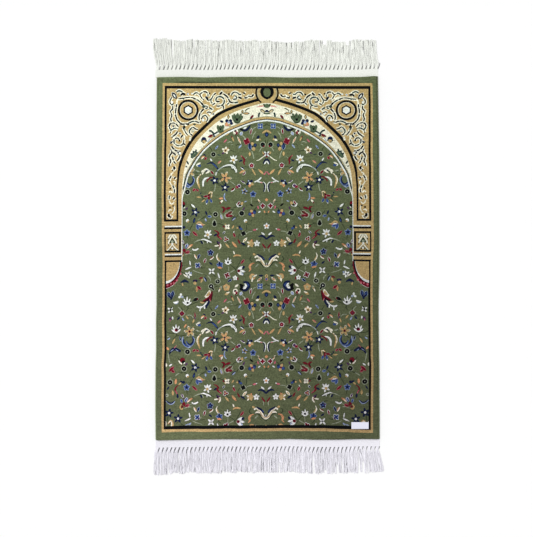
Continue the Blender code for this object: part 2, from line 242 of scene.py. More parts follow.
# The field: its stems, arcs, flowers and leaves, in the order of weaving. A row that starts with ~ is a
# line: yarn, width, its share at the start and at the end, then columns and rows of its points. Any
# other row is a motif: column, row, kind, heading, reach and width, its yarns, and for some an edge (or
# a dash) and a heart. An indented row goes on with the one before it.
FIELD = """
~ s 0.9 0.6 0.5 -9.8 49.6 -12.2 50.6 -14.1 52.2
~ s 0.9 0.6 0.4 -5.1 70.6 -6.7 73 -7.5 74.6
~ s 0.9 0.7 1 -15.5 74 -14.1 77.6 -13.3 81.6
~ s 0.9 0.7 0.7 -21.7 61 -24.2 59 -25.2 57.8
~ s 0.8 0.7 0.7 -14.8 61.6 -13.6 58 -11.2 54.6
~ e 0.9 0.7 0.7 -16.8 65 -13.2 64 -10.1 63.6
~ s 0.9 0.7 0.7 -40.5 66 -37.7 64.6 -35.3 65.4
~ s 0.9 0.7 0.7 -36.7 67.8 -34.7 67.2
~ e 0.8 0.7 0.7 -31.5 68.6 -29.6 67.2 -26.2 67.4
~ c 0.9 0.8 0.5 -2.9 79.2 -5.5 81.2 -8.1 83 -10.7 83.6
~ e 0.8 0.6 0.6 -23.4 89.2 -20.3 89.8 -18.3 89.6
~ s 0.8 0.7 0.6 -37 104.2 -34.6 106 -32 108
~ s 0.9 0.7 0.7 -51.9 107 -52.3 111 -53.3 114.4
~ e 0.9 0.7 0.7 -66.8 117.4 -64.4 121.2 -61.3 123
~ s 0.8 0.7 0.7 -69 142.8 -66.8 141.6
~ e 0.9 0.7 0.7 -67.8 142.8 -63.9 141 -60.9 138.4
~ e 0.8 0.7 0.7 -74.4 147 -76.6 150.6 -77.6 153
~ s 0.7 0.7 0.6 -71 164 -73.2 165.4
~ e 0.9 0.7 0.7 -34.1 131.4 -31.5 129.8 -29.7 128.4
~ s 0.8 0.7 0.6 -19.7 155.2 -17.1 154.4 -14.3 154.2
~ e 0.9 0.7 0.7 -20.4 147.4 -20.2 151 -21.2 153.8
~ s 0.8 0.6 0.6 -15.6 121 -15.6 126.4
~ e 0.9 0.7 0.7 -36.5 132.6 -33.7 132.6
~ s 0.8 0.6 0.6 -74.8 193 -70.9 194.8 -64.5 196.6
~ s 0.9 0.7 0.7 -59.6 198.6 -57.2 201.4 -56.8 204
~ e 0.9 0.7 0.7 -25.9 182.4 -28.9 188.4 -32 192.6
~ s 0.8 0.7 0.6 -37.6 196 -34.4 194.2 -32 192.8
~ s 0.9 0.6 0.6 -38.8 189.6 -38.6 194
~ s 0.8 0.6 0.6 -2.8 170.4 -2.3 173.6 -2.7 175.2
~ e 0.9 0.7 0.7 -4.1 201.6 -4.7 204.4 -5.7 206.6
~ e 1.1 0.7 0.7 -15.8 179.2 -17.1 182.6 -14.6 184.8
~ s 0.8 0.7 0.7 -67.1 189.4 -65.3 187.8
~ s 0.8 0.7 0.7 -82.7 178.2 -79.4 176.6 -75.8 176.8
~ s 0.9 0.6 0.6 -77.4 174.4 -75 173.2
~ n 2.6 0.5 0.5 -27.5 51.2 -24.9 52.8 -21.6 53.1 -19 51.3 -16.9 48.2
~ k 2 0.6 0.8 -27.5 51.2 -25.9 52.4 -24.1 53
~ w 1.8 0.5 0.2 -23.9 51.4 -22.3 51 -20.6 49.6
~ t 1.9 0.6 1 -4.5 56.2 -2.5 54.8 0.1 53.6
~ n 2 0.6 1 -3.4 86.8 -2.1 84.2 -0.2 82
~ w 1.3 0.6 1 -2.1 87.2 -1.2 85.4 -0.2 84.4
~ r 1.9 0.5 0.5 -25.8 78.8 -24 81 -23 82.8 -23.8 85.2 -22.8 87.6
~ p 0.9 0.6 0.6 -26.6 78.2 -25.6 79.6
~ s 0.9 0.6 0.6 -22 81.2 -20.4 79.8
~ n 2 0.3 0.8 -60.8 86.6 -58.2 85.6 -55.6 85.4 -52.7 87.7 -50.9 89.8 -49.4 91.8
~ b 1.2 0.4 0.6 -55 86 -52.5 88 -50.5 90.4
~ e 1.6 0.4 0.6 -44.9 90.6 -41.3 89.8 -37.8 89.6 -35.2 90.6 -33.4 92.6 -32.2 94.4
~ w 1.8 0.4 0.9 -45.5 90 -42.7 88.7 -38.9 87.9 -35.6 88.3 -32.8 90.4 -31.3 92.8 -31.3 95.3
~ w 1.3 0.5 0.6 -36 88.9 -33.6 90.6 -32 93.2
~ l 0.5 1 0.7 -45.3 89.9 -47.7 91.2 -49.8 93.4 -51.3 97
~ s 0.6 1 0.7 -45.5 90.4 -47.5 91.6 -49.5 93.7 -50.9 97
~ w 1.1 1 0.8 -51.1 95 -51.6 98.2
~ w 1.5 1 0.4 -36 89 -34.9 91.4
~ e 1.1 0.8 0.6 -36 92 -34.4 92.8
~ d 1.1 0.8 0.8 -34 86.8 -32.4 88.4
~ t 2.3 0.4 0.4 -66.2 97 -68.8 99.8 -69.8 103.4 -69 107 -67.5 111.4
~ c 0.9 0.4 0.4 -66.4 96.6 -69.2 99.6 -70.4 103.4 -69.4 107.2
~ w 2 0.4 0.7 -58.1 100.2 -60.8 100.6 -63.2 102.4 -64.2 105.2 -64.1 109.2
~ r 1.5 0.6 0.6 -54.3 99.6 -57.1 100.4 -59.4 102.2 -60.5 104.8
~ l 2.3 0.4 0.8 -74.7 99.4 -73.3 102.6 -74.3 106 -76.7 108.6 -79.5 110.4
~ b 1.9 0.4 0.8 -74.9 99.2 -73.8 102.8 -75.1 106 -77.5 108 -80.3 109.4
~ n 1.3 0.4 0.6 -74.9 100.6 -74.3 103.2 -75.7 106.2 -78.7 107.6
~ w 1.3 0.8 1 -12.6 104.8 -9.8 103.8 -7.6 102.4 -5.4 100.4
~ w 1 1 0.7 -9.6 104.4 -7 105 -4.2 105.6
~ p 1 0.8 0.8 -6.4 105.4 -4.4 105.8
~ w 0.8 0.7 0.6 -3.4 104.8 -1.3 106.8 -0.9 110.4 -1.9 114.8
~ n 1.3 0.6 0.8 -4 105.8 -2.3 107.8 -2.1 111 -3.1 114.6
~ l 1.3 0.6 0.4 -42.3 116 -43 119.4 -42.4 122.2 -40.6 124.2
~ b 0.7 0.6 0.6 -42.9 118 -42.9 121
~ t 1.6 0.8 0.6 -58.7 116.8 -57 114.8 -55.3 115.1 -55.3 117.6 -56.3 120.6
~ c 0.5 0.8 0.6 -57.9 116 -56.7 114.7 -55.1 115.2 -55.1 117.4 -55.9 119.4
~ e 0.7 0.8 0.6 -54.7 116 -54.9 118.4
~ r 2.1 0.4 0.6 -45.8 130 -43.4 130.6 -42.6 132.6 -44.4 135.6
~ k 0.8 0.5 0.6 -44.2 131.2 -43.4 132.8 -44.6 134.8
~ t 2 0.6 0.2 -71 147 -69.2 145.4 -67.2 145.4 -65.1 147.2 -61.7 147.8
~ p 1.2 0.6 0.3 -69.8 147.4 -67.4 147.6 -63.9 148.4
~ e 1.1 0.5 0.6 -68.7 164.6 -64.7 164.2 -60.9 164.8 -56.6 166.4
~ s 0.9 0.5 1 -71 164 -68.5 163 -65.3 162.5
~ w 1.4 0.5 0.9 -65.9 162.6 -63.5 162.1 -61.1 163 -58.7 163.9 -55.6 165.1
~ w 0.9 0.9 0.8 -59.9 163.6 -59.8 166
~ s 0.8 0.8 0.6 -64.7 163.6 -63.9 165.2 -63.4 167
~ n 1.8 0.4 0.8 -66.9 163.6 -65.7 165 -64.7 166.8
~ n 2.1 0.4 0.8 -8.4 159.6 -5.2 158.8 -2.6 159.8 0 162.4
~ r 1.7 0.5 1 -4.4 166.6 -2.8 169 -1.1 171.2
~ r 1.9 0.4 0.6 -52.8 153.2 -50.2 154.4 -48.5 156.4 -49.8 158.2 -48 160.2 -45.3 162.4
~ p 0.9 0.6 0.6 -47.8 160 -45.3 162.2
~ e 1.2 0.5 0.8 -11.2 185.4 -8.2 185 -5.3 187.2 -2.9 190.6
~ c 2.5 0.6 0.9 -12.2 180.6 -9.4 179.1 -6.7 181.6 -4.3 184.6 -2.3 188 0.1 189.4
~ t 0.9 0.4 0.8 -8.4 180.4 -5.7 183.6 -3.3 187.4 0.1 189
~ c 1.7 0.4 1 -11 184 -9 182.9 -6.4 183.4
~ n 2.1 0.6 0.9 -9.6 177.4 -7.2 178.9 -4.7 180.2 -2.3 183.4
~ b 1.1 0.6 0.6 -4.1 180.4 -2.3 182.6
~ o 2.2 0.3 0.3 -12.4 186 -15.4 186.9 -17.3 189.8 -16.4 192.2 -18 194.4
~ r 1 0.3 0.3 -12.2 185.9 -14.8 186.6
~ n 3.2 0.5 0.6 -23.9 205.2 -20 205.6 -17.8 209 -20 212 -22.8 213.6
~ b 1.7 0.4 0.5 -20.4 206 -18.2 209 -20 211.4
~ k 3 0.6 0.7 -26.9 207 -25.5 209.4 -25.7 212.2
~ k 1.6 0.8 0.8 -24.7 207.6 -23.6 210.6 -24.4 213
~ w 2.3 0.8 0.4 -23.4 211 -20.8 209.2 -22.2 206.6
~ n 2.8 0.4 0.4 -86.9 205.8 -84.4 204.8 -82.5 204 -78.8 205.6
~ n 1.3 0.9 0.6 -82.8 204.4 -82.6 202.4
~ t 1.9 0.5 0.7 -33.6 179.8 -31.8 178.4 -29 178.2 -26.1 178.8
~ w 1.7 0.6 0.6 -75.1 171.8 -73.6 173 -71.8 172.9 -68.8 171.4
~ c 1.6 0.5 0.8 -52.6 168.8 -50.2 168.6 -48 167.6
~ c 1.5 0.8 0.5 -46.9 166.8 -46.5 169.4 -48.3 172.2
~ r 1 0.6 0.6 -49.6 167.6 -47.6 167.8 -48 170.2
-6.6 49.2 four 45 3.3 2.1 b l w0.6
-16.2 54.5 leaf 12 6.4 1.9 r w
-26.2 56.6 leaf 30 4.2 2.5 l w
-30.7 57.6 pair -8 3.8 1.5 cc
-31.4 56.4 leaf 165 3 1.6 r
-31.7 55.4 leaf 10 1.8 1.4 p
-32.6 54.4 leaf -50 2 1.4 k
-33.6 56.2 leaf 145 3.6 1.3 c
-34.6 61.7 leaf 158 6 1.7 t
-35.6 59.8 leaf 155 2.6 1.2 r
-28.2 63 leaf 154 8.6 1.9 c
-28.2 63 leaf 156 6 1 o
-27.2 69.2 leaf 220 5.2 1.7 l
-20.5 64.2 four 20 3.3 2.9 r p
-22.2 61.8 leaf -40 1.6 1.2 w
-8.8 60.4 leaf 30 5 2.8 n
-9.3 63 leaf 70 3.8 2.4 c
-6.9 62.4 leaf 160 2.8 1.5 t
-0.3 57.8 leaf 0 4.8 3.6 n
-0.3 57.9 leaf 0 2.4 1.4 b
-4 67.8 bud 0 2.2 0 k s d0.6
-2.9 69.4 leaf 55 2.4 1.8 r
-17.3 69.2 leaf 175 7.6 3.4 n l
-16.8 69.6 leaf 175 4.4 1.3 b
-14.8 66.6 leaf 0 3.8 3.2 t
-11.8 68.3 leaf 10 4.4 3.4 n
-11.9 68.2 leaf 10 2 1.6 b
-13.5 71.8 leaf 170 4.6 3.6 t
-14.4 69.4 bud 0 0.7 0 k
-17.5 76.8 leaf 180 5 2.5 t e
-0.2 77 four 45 3.6 1.8 w - u0.8
-3.7 76 leaf 150 3.4 1.6 t
-2.5 77.6 leaf 210 3 1.2 r
-0.2 79.6 leaf 90 2.4 1.6 r
-41.9 73.2 five 8 4.1 2.6 c - t1.7
-41.9 73.6 bud 0 0.7 0 k
-39.9 71.4 leaf 40 2.2 0.8 o
-43.1 74.6 leaf 210 1.8 0.7 o
-44.5 75.9 leaf 60 3.8 1.7 u
-42.1 63.7 leaf 42 5.2 1.6 p
-50.8 70.1 leaf 40 5.4 1.8 l
-51.1 70.5 leaf 40 2.6 1 b
-54.1 77 bud 0 2.1 0 k s s0.5
-48.5 77.6 leaf 105 4.4 1.3 d
-63 77.4 leaf 125 3 1.8 n
-64.6 79.6 leaf 60 4.6 1.8 o
-65 80.6 leaf 50 3.8 1 c
-62 81.2 leaf 30 3.2 1.6 r p
-56.4 82.4 leaf 145 4 1.7 w
-34.2 82.8 daisy 0 5.1 2.1 w - t1.5
-26.9 83.6 leaf 66 4 1.8 n
-15.6 88.4 five 0 2.5 2.1 r w p0.7
-25 90.7 leaf 125 4.4 1.8 n
-25.4 91.3 leaf 125 4.6 0.9 w
-25.1 94.6 leaf 60 7.6 2.3 t
-26 94.4 leaf 58 5 1.2 o
-23.4 96.2 leaf 40 4.8 1.6 r w
-13.5 94.7 leaf 150 9 1.8 t
-5.8 94.8 leaf 133 8 2.4 t
-6.1 94.5 leaf 133 5 1.2 o
-2.4 97.2 leaf 140 1.8 1.6 p
-1.2 95.8 leaf 30 3.6 1.3 p
-42.6 100.6 star 22 6.8 3.7 c e
-42.6 100.6 star 22 6 2.6 t
-42.6 100.6 star 22 4.6 1 o - n1
-42.2 110.4 bud 0 2.1 0 n
-42.2 110.4 five 5 4.9 2.3 n - w1.2
-17.3 106 five -32 4.3 2.9 nnton - w1.1
-18.8 103.6 leaf -32 1.8 1.4 l
-24.5 104.8 leaf 120 6 1.5 w
-24.5 104.4 leaf 120 4.6 1.3 u
-28.3 108.8 bud 0 1.5 0 u w
-30.1 110 leaf -60 3.4 1.8 r p
-34.4 112.8 leaf 50 5.4 2.4 w
-34.4 112.2 leaf 50 4.6 1.9 r
-22.8 114 five 10 3.4 1.7 l - n1.5
-21.5 115.6 leaf 130 2.6 1.2 t
-23.7 112.8 leaf -30 2.2 1.3 t
-13.9 116.9 five 0 3.2 2.1 b l n1.3
-21.5 124.2 leaf 70 3.2 1.2 l
-7.5 124.2 leaf 150 6 1.9 c
-7.5 124.2 leaf 150 4.2 0.9 o
-0.1 122.8 leaf 0 3 3 o e
-15.4 127.9 leaf 128 5 1.9 k
-46.2 121.4 leaf 85 5 2.2 o
-45.8 124.6 leaf 42 5.2 2.3 c
-46.8 125.8 leaf 30 2.4 1.2 r
-64 93.8 leaf 250 5.4 3.5 c e
-61.6 92 leaf 80 4.6 2.6 c
-59.2 92.6 leaf 130 3.6 1.6 w
-59.2 94.6 leaf 58 6.6 2.2 c
-61 93.5 leaf 60 2.6 1.5 n
-64.6 95.8 leaf 210 3 1.8 c
-62.7 94.6 leaf 20 2.2 0.8 e
-55.3 95.2 leaf 140 6.6 3.2 s
-55.3 95.2 leaf 140 5.6 2.1 r
-70.3 93.7 leaf 115 3.6 1.4 s
-70.8 94.8 leaf 90 1.6 1.3 d
-75.7 96.4 leaf 162 4.4 2.3 o c
-74.3 91.2 leaf 20 3 1.2 t
-69.2 85.8 leaf 60 4.2 1.3 w
-70.5 88.2 leaf 140 3 1 w
-68.4 87.8 leaf 150 3.8 2.8 b
-48 85 leaf 50 5.4 2 t
-48.4 84.8 leaf 50 4.2 1 p
-52.7 103.2 bud 0 2.1 0 n
-52.7 103.2 five -15 4.6 2.3 n - w1.2
-80 115 bud 0 2.3 0 k s s0.5
-73.5 112.9 leaf 55 3.6 1.9 r p
-70.2 112.9 leaf 125 3.2 1.5 r p
-61.3 119.2 leaf 262 5.8 2.5 r s
-58.4 118.2 leaf 25 3.4 2.3 r
-58.4 117.8 leaf 25 1.8 1.1 k
-58.4 120.8 leaf 168 3.8 2.6 r
-59.3 119.4 bud 0 0.5 0 p
-60.3 124.5 leaf 196 5.4 2.4 b s
-60.7 126.7 leaf 196 1.6 0.8 w
-56.2 123.7 leaf 155 4.6 2.3 b s
-68.6 120.1 leaf 94 5.2 1.6 t
-65.2 119.2 leaf 120 3.6 1.6 d
-64 123.8 leaf 52 4.6 1.5 t
-64.4 122.4 leaf 62 4.4 1.1 e
-66.6 116.2 leaf 30 2.2 1.3 n
-74.3 128.9 leaf 132 5.6 2.1 w
-72.1 135.3 bud 0 2.1 0 n
-72.1 135.3 five 18 4.9 2.3 n - w1.2
-71 135.6 leaf 120 1.8 1.5 l
-73.2 143.4 leaf 195 6.4 2.6 n
-73.2 143.8 leaf 195 2.8 1 b
-80.9 131.7 leaf 40 4.2 1.7 u
-83.2 136.6 bud 0 2.3 0 k s s0.5
-79.9 143.8 bud 0 1.6 0 w e
-79.3 144.8 leaf 60 2.8 1.5 t
-83.1 149.9 leaf 135 3.4 1.5 n
-60.9 136 leaf 160 5.2 2 n
-57.9 139.5 leaf 98 4.2 2 b l
-61.5 142.9 leaf 165 3.8 1.8 l
-51.7 137.4 bud 0 2.2 0 k s s0.5
-45.8 139.8 leaf 160 5.6 1.8 l t
-52.7 145.8 leaf 0 7.4 4.6 s
-52.7 147.2 bud 0 1.9 0 k s
-52.7 145.9 leaf 0 5 2.8 k
-69.8 149.9 leaf 165 6 2.6 b l
-67.1 149.3 leaf 110 4.8 2.4 b l
-67.8 147.5 leaf 105 4.8 1.3 w
-80.5 155.8 five 0 3.3 2 b l n1.4
-72.6 156.5 leaf 132 7 1.9 r p
-59.6 157.6 daisy 0 5.1 2.2 w - t1.5
-51.7 157.9 leaf 58 4.6 2 n
-43.3 155.8 leaf 40 3.6 1.3 n w
-41.2 162.3 three -25 2.7 2.1 r w o0.6
-32.9 157.8 leaf 158 4.8 1.7 r p
-33.2 154.9 leaf 25 2.4 1 w
-23.5 156.3 bud 0 2.7 0 s
-20.7 156.4 leaf 90 2.4 1.4 s
-23.5 156.3 four 20 2.7 2.5 k
-25.3 136 bud 0 2.3 0 k s d0.6
-23.3 131.5 leaf 25 4.8 1.6 u
-14.6 136 four -20 4.2 3 tbtb n r1.1
-11.7 133.6 leaf 5 2.6 1.8 n
-33.4 141.5 leaf 48 6 2.1 n
-33.1 142 leaf 48 4.8 1.2 l
-21.4 143.6 bud 0 1.6 0 w e
-20.8 144.8 leaf 60 2.8 1.5 t
-15.3 143.5 leaf 60 2.6 0.9 e
-0 149 five 0 3.4 2.2 w d o1.3
-37.3 135.9 leaf 56 8 4.4 s
-36.7 138.8 leaf 80 7.4 4 s
-39.8 138.4 bud 0 2.8 0 s
-37.4 136 leaf 56 6.8 2.6 r
-36.9 138.9 leaf 80 6 2.4 r
-39.5 138.4 bud 0 1.9 0 r
-38.1 138 leaf 72 2.4 0.8 p
~ s 0.8 0.6 0.6 -47.2 135.8 -45.6 137.2 -44 139.8 -43.6 142.6
-39.2 131.4 leaf 72 6.4 2.2 r e
-39.8 149.8 four 45 3.1 2.6 c e d0.7
-41.9 151.8 leaf -30 2.8 0.9 t
-41.7 147.4 leaf -40 2 1.3 t
-43.3 149.6 leaf -55 2.6 1.6 r
-34 149.9 leaf 32 4.4 1.8 t e
-27.4 150.2 leaf 160 4.6 2.4 n
-26 151.6 leaf 112 3.6 2.4 b
-29.6 150.8 leaf 90 2.2 2 t
-12 152.7 leaf 78 4.4 1.9 p
-9.9 152 leaf 60 1.8 1.3 w
-3.6 156.7 leaf 128 4.8 2 w
-3.9 128.8 four 0 2.7 2.1 r w
-8.6 130.2 leaf 165 3.6 1.7 p
-7.3 134.8 leaf 60 3.4 1.6 w
-2.1 134.7 leaf 150 2.6 1.5 o
-0.4 136.9 leaf 40 2.2 1.2 e
-29.7 128.2 leaf 150 4.8 1.9 w
-25.2 126.6 leaf 18 5 2.8 t
-27.1 128.7 leaf 80 5.4 2.2 w
-27 128.3 leaf 75 3.8 1.8 k
-28.5 126.1 leaf 32 5 1.8 r w
-22 162.8 leaf 42 6.8 2.9 c
-22.2 163 leaf 42 4 1.2 t
-28.1 164.4 leaf 152 6 1.8 r
-24 166.7 leaf 118 6.2 2.1 n
-32.7 167.5 leaf 140 7.6 2.5 o
-33.2 166.4 leaf 130 4 1 t
-39.7 168.7 leaf 138 6.6 2 t
-16.1 166.2 five 15 4.2 3 t
-15.1 163.4 leaf 10 2.8 1.4 o
-18.7 165.4 leaf -60 3.2 2 c
-18.5 169 leaf 220 3 1.8 c
-9.9 166.4 five 0 3.4 2.4 w - s0.8
-48.7 165.6 leaf 100 4 2 u
-49.4 166.6 leaf 160 3.4 1.2 k
-49.9 164.6 leaf -30 2 1.2 n
-77.2 169.2 leaf 55 7 2.3 o
-77.6 169.8 leaf 55 5 1.2 c
-80.4 169.6 leaf 30 4.6 1.6 b l
-83.3 167.2 leaf 150 3.2 1.3 u
-82.6 173.8 leaf 2 5 1.9 r
-79.8 174.8 leaf 82 4.2 2.2 r p
-72 179.6 leaf 150 6 1.9 c
-71.4 179.2 leaf 150 4.6 1 o
-68.6 179.5 leaf 22 5.6 1.9 n l
-56.7 175.4 five 5 3.2 2.2 n l b1
-58.5 174.7 bud 0 0.7 0 u
-55.4 181.1 leaf 52 5.6 2.2 c
-55.8 180.6 leaf 55 4.4 1.2 r
-56.4 186.3 leaf 128 4.6 1.9 n
~ c 1.3 0.4 0.8 -49.3 176.4 -50.5 179.4 -49.6 182 -47.7 184.2
~ t 1.1 0.4 0.8 -49.7 179.4 -48.9 181.8 -47.4 183.8
-47.2 212.2 leaf 28 7.6 3 s e
-47.6 213 leaf 22 5 2.1 t
-48.1 213.8 leaf 22 3.6 1.7 c
-62.4 183.6 leaf 18 5.4 1.9 r w
-69.6 188.3 four 40 3.1 2.3 b w n0.8
-68 190.2 leaf 40 2.8 1.6 u
-47.3 187.8 five -10 3.4 2.2 nbbbb l n0.8
-47.5 190.6 leaf 100 5.2 2 o
-55.6 194.2 four 44 4.2 2.1 w - k0.8
-77.4 186 leaf 170 5.4 1.7 w
-79.2 191.4 leaf 66 7.6 1.9 w
-76.6 196.4 leaf 30 3.4 1.7 l
-84.9 207.8 leaf 165 3.8 1.7 t
-72.3 204 leaf 90 5.6 3 n
-72.3 203.2 leaf 90 2.4 1.2 u
-72.5 206.3 bud 0 1.5 0 t
-66.5 201 leaf 68 4.6 1.7 r
-65.5 203.6 leaf 30 5.2 2.2 t
-61.8 202 leaf 155 5.8 1.9 n
-62.6 202.6 leaf 152 5.4 1 l
-61.4 198.6 leaf 10 2 1.2 d
-48.5 198.6 leaf 162 6.4 1.9 w
-49.6 204.5 bud 0 2.1 0 k s s0.8
-50.7 202.8 leaf 60 2.6 0.9 s
-56.2 209.4 bud 0 2.2 0 k s w0.6
-54.3 212 leaf 150 3.6 2 k s
-70.6 212.2 leaf 8 6.4 2.5 t
-68.5 210.9 leaf 130 5.4 2.4 r p
-70.5 213.4 leaf 5 3.4 1.4 o
-39.1 186.8 lotus 0 6.4 2.1 w
-39.1 185.4 bud 0 2.3 0 w - k1.2
-33.2 175.6 leaf 158 4 1.7 c
-30.1 178.2 leaf 92 4.4 1 o
-24.7 184.8 leaf 38 5.8 1.6 r p
-12.8 177.2 leaf 120 3.4 2.4 t
0.1 186.8 leaf 0 2.6 1.2 w
-0.8 187.6 leaf 30 2 1.2 n
-9.9 188.6 leaf 46 5.2 1.4 s
-27.1 191.6 leaf 48 8 3.6 w e
-25.9 194 leaf 97 8.8 3.2 w e
-27 196 leaf 126 7.6 3.8 w e
-28.3 193.9 bud 0 1.5 0 r
-24.7 196.6 leaf 126 3.4 1.2 l
-28.1 193.9 bud 0 0.5 0 k
-23.7 190.4 leaf 42 4 2.6 n
-40 198.4 four 20 3.1 2.2 r w
-31.9 201 five 0 2.7 2.2 w e s0.7
-29.3 201.6 leaf 170 3.6 1.4 r
-37.5 203.8 leaf 58 5 1.9 n l
-14.4 199.8 bud 0 2.6 0 t o
-12 199 leaf 62 5.6 1.8 c
-14.6 202.8 leaf 190 5 2.2 c
-14.2 199.6 leaf 180 2.8 1.4 s
-5.7 198.8 leaf 92 5.4 2 n
-7.3 202.6 leaf 48 6.8 2.8 c
-7.3 202.6 leaf 48 4 1.4 o
0.2 199.2 bud 0 1.7 0 t - n0.8
0.2 202.4 bud 0 1.3 0 b o
-40.8 210.6 five 0 3.4 2.6 t o s0.8
-30.5 209 leaf 52 5 2.4 c
~ s 0.9 0.7 0.6 -89.1 70 -87.5 71.8 -85.8 74
~ e 0.9 0.7 0.6 -80.4 69.8 -78.4 72
~ s 0.8 0.6 0.6 -80.6 78.5 -76.3 78.5 -73.9 81.2
~ s 0.8 0.7 0.7 -99 118.9 -98.2 123.5 -97.1 128.1
~ s 0.9 0.7 0.7 -88 140.9 -90.7 142.5 -92.3 143.9
~ s 0.9 0.7 0.7 -96.5 145.1 -97.1 147.2
~ e 1 0.7 0.7 -91.1 97.7 -86.4 99.2 -80.8 98.1
~ s 0.8 0.7 0.7 -100.2 98.9 -98 99.2
~ s 0.8 0.7 0.7 -72.4 164.7 -68.6 163.4
~ w 1.9 0.6 0.4 -70.7 69.2 -67.7 70.4 -64.2 68.8
~ w 1.4 0.8 0.7 -67 70.4 -67.6 74
~ w 2.4 0.3 0.6 -93.9 65 -91.7 65.6 -89.1 64.2
~ l 0.8 0.5 0.5 -92.7 66.7 -90.9 66.8 -89.1 66
~ l 1.6 0.6 0.4 -84.4 99.6 -84.7 104.7 -82.8 108 -79.1 110.8
~ b 2 0.5 0.4 -83.8 102 -83.8 105.5 -82 108 -78.9 109.9
~ n 1.4 0.5 0.4 -83.4 102.4 -83.4 105.5 -81.4 107.6
~ l 1.7 0.5 0.6 -81.2 104 -79.7 107 -77.1 108.1 -74.1 105.7 -72.9 101.6
~ b 1.9 0.5 0.7 -81.2 104.1 -79.5 106.8 -77.1 107.8 -74.5 105.5 -73.7 101.8
~ n 1.4 0.5 0.7 -80.2 105.5 -77.3 107.4 -75.1 105.5 -73.9 102
~ n 3.3 0.3 0.6 -98 116.5 -95.9 112.9 -93.3 111.4 -90.5 112 -86.6 114.1
~ l 0.9 0.6 0.6 -96.6 113.5 -93.9 111.8
~ l 1 0.6 0.6 -91.5 112 -89.3 113.5
~ p 1 0.7 0.5 -93.1 110.6 -90.7 108
~ r 1.5 0.4 0.9 -88.6 153.5 -91.1 155.4 -92.2 157.7 -91.3 160 -90.2 162.2
~ p 1.1 0.6 0.9 -91.5 159.2 -90.1 162.4
~ t 1.6 0.6 0.8 -85.8 173.9 -87.2 176.7 -85.8 178.9 -83.9 178
~ l 1.7 0.3 0.3 -101 170.1 -97.9 172.5 -94.9 173 -91.9 170.3
~ n 1.4 0.3 0.3 -100.8 169.4 -98.1 171.8 -95.1 172.1 -92.3 169.6
~ t 2.2 0.5 0.9 -99.1 195.9 -96.3 192.6 -94.3 195.1 -94.5 199.5
~ c 1.1 0.5 0.9 -98.7 195.1 -96.3 193 -95.3 195.5 -95.9 199.3
~ r 1 0.6 0.6 -98.3 196.3 -96.7 195.1
-98 57.7 leaf -24 7.2 3.6 n l
-94.9 57.3 leaf 10 7.8 3.2 n l
-96 60.9 leaf 8 4.4 2.2 n
-98.2 56.9 leaf -30 3.4 1.6 b
-95.1 56.7 leaf 10 3.6 1.2 b
-86.6 59.3 three 0 2.9 2.4 wlw s
-96.7 72.6 four 38 3.5 2 w - k1.2
-95.7 70.4 leaf 40 2.4 1.2 k
-80.5 68.8 bloom 0 9.4 1.9 w
-80.4 66.2 bud 0 2.2 0 w
-79.9 66 bud 0 1 0 k
-85.4 76.9 four 0 3.5 3.5 s
-85.4 76.9 four 0 2.6 2.7 r
-85.5 76.9 leaf 20 1.6 0.9 u
-88.6 81.7 leaf 42 4.4 2 n
-84.1 82.7 leaf 145 4.4 1.7 l
-80.2 80.8 leaf 140 4.8 2 t
-72.3 78.3 leaf 175 6.4 1.8 r s
-73.7 84.1 leaf 200 5.4 1.7 t
-72.5 81.4 leaf 165 3 1.4 u
-96.8 82.2 leaf 15 4.6 2.6 u
-97 83.3 leaf 0 2.6 1 p
-94.3 81 leaf -10 3.4 1.6 w
-71.9 62.4 leaf 62 6.2 3.6 k s d0.7
-69.9 62.2 leaf 10 2.4 1.3 r
~ c 3.7 0.4 0.6 -57.5 53.1 -58.2 55.3 -59.6 57.7 -62.3 59.9
~ t 2 0.5 0.5 -58 54.5 -58.6 56.5 -60.8 58.9
~ p 0.9 0.6 0.6 -56.8 56.1 -58.2 59.1 -60.6 60.9
~ r 3.3 0.4 0.5 -55.3 54.1 -55.7 57.1 -56.6 59.5 -58.8 61.4 -61.6 63 -65 64.6
~ r 2 0.8 0.4 -56.2 59.3 -56.3 61.4 -56.3 63.6
~ k 1.3 0.5 0.5 -58.2 60.9 -60.8 63.4 -64.2 64.4
~ k 0.9 0.5 0.5 -55.5 54.7 -55.3 58.7 -56.1 63.4
~ t 1.7 0.7 0.5 -67.3 65 -65.4 65.6 -63.3 65.4
~ n 2.5 0.4 0.5 -58.4 62.2 -58.6 64.8 -60 67.2 -61.4 69.2 -60.6 71
~ w 1.4 0.5 0.8 -60 64.2 -61.6 66.4 -63.4 68.4 -65.6 69.8
-40.4 56.7 leaf 60 5.4 2.8 t
-39.2 55.6 leaf 72 4.2 1.5 c
-31.7 54.2 bud 0 2.5 0 c e
-31.9 54 bud 0 1.2 0 k
-30.6 56 leaf 20 3.6 2.4 r
-31.2 54.8 bud 0 0.5 0 p
~ w 1.5 0.8 0.6 -63.4 68.4 -63 70 -62.8 71.6
~ p 0.8 0.6 0.6 -57.8 61.6 -57.6 63 -56.7 64.2
-90.9 96.3 bloom -1 9.4 2 w
-90.9 93.7 bud 0 2.3 0 w
-90.7 93.1 bud 0 1.7 0 r
-90.3 92.5 bud 0 0.8 0 k
-82 89.4 leaf 32 4.8 1.6 o
-77.7 94.7 five -14 5.8 3.7 c
-77.7 94.7 five -14 4.9 2.4 t - r1.3
-77.5 94.9 bud 0 0.6 0 k
-69 86.4 leaf 66 5.2 2 c
-67.8 88.4 leaf 60 3.2 2.4 b
-69.6 93.9 leaf 105 4.4 1.4 s
-98.3 101.4 leaf 60 3.8 1.5 l
-93.5 104 leaf 208 6 1.9 t
-87.1 101.6 leaf 165 5 1.4 n l
-99.7 110.6 leaf 142 4.4 2.1 o
-87 129.7 leaf 140 5.8 2 c
-84.8 127 bud 0 2.3 0 r e
-84 129 leaf 60 3.8 3 k
-83 130.6 leaf 40 2.6 1 w
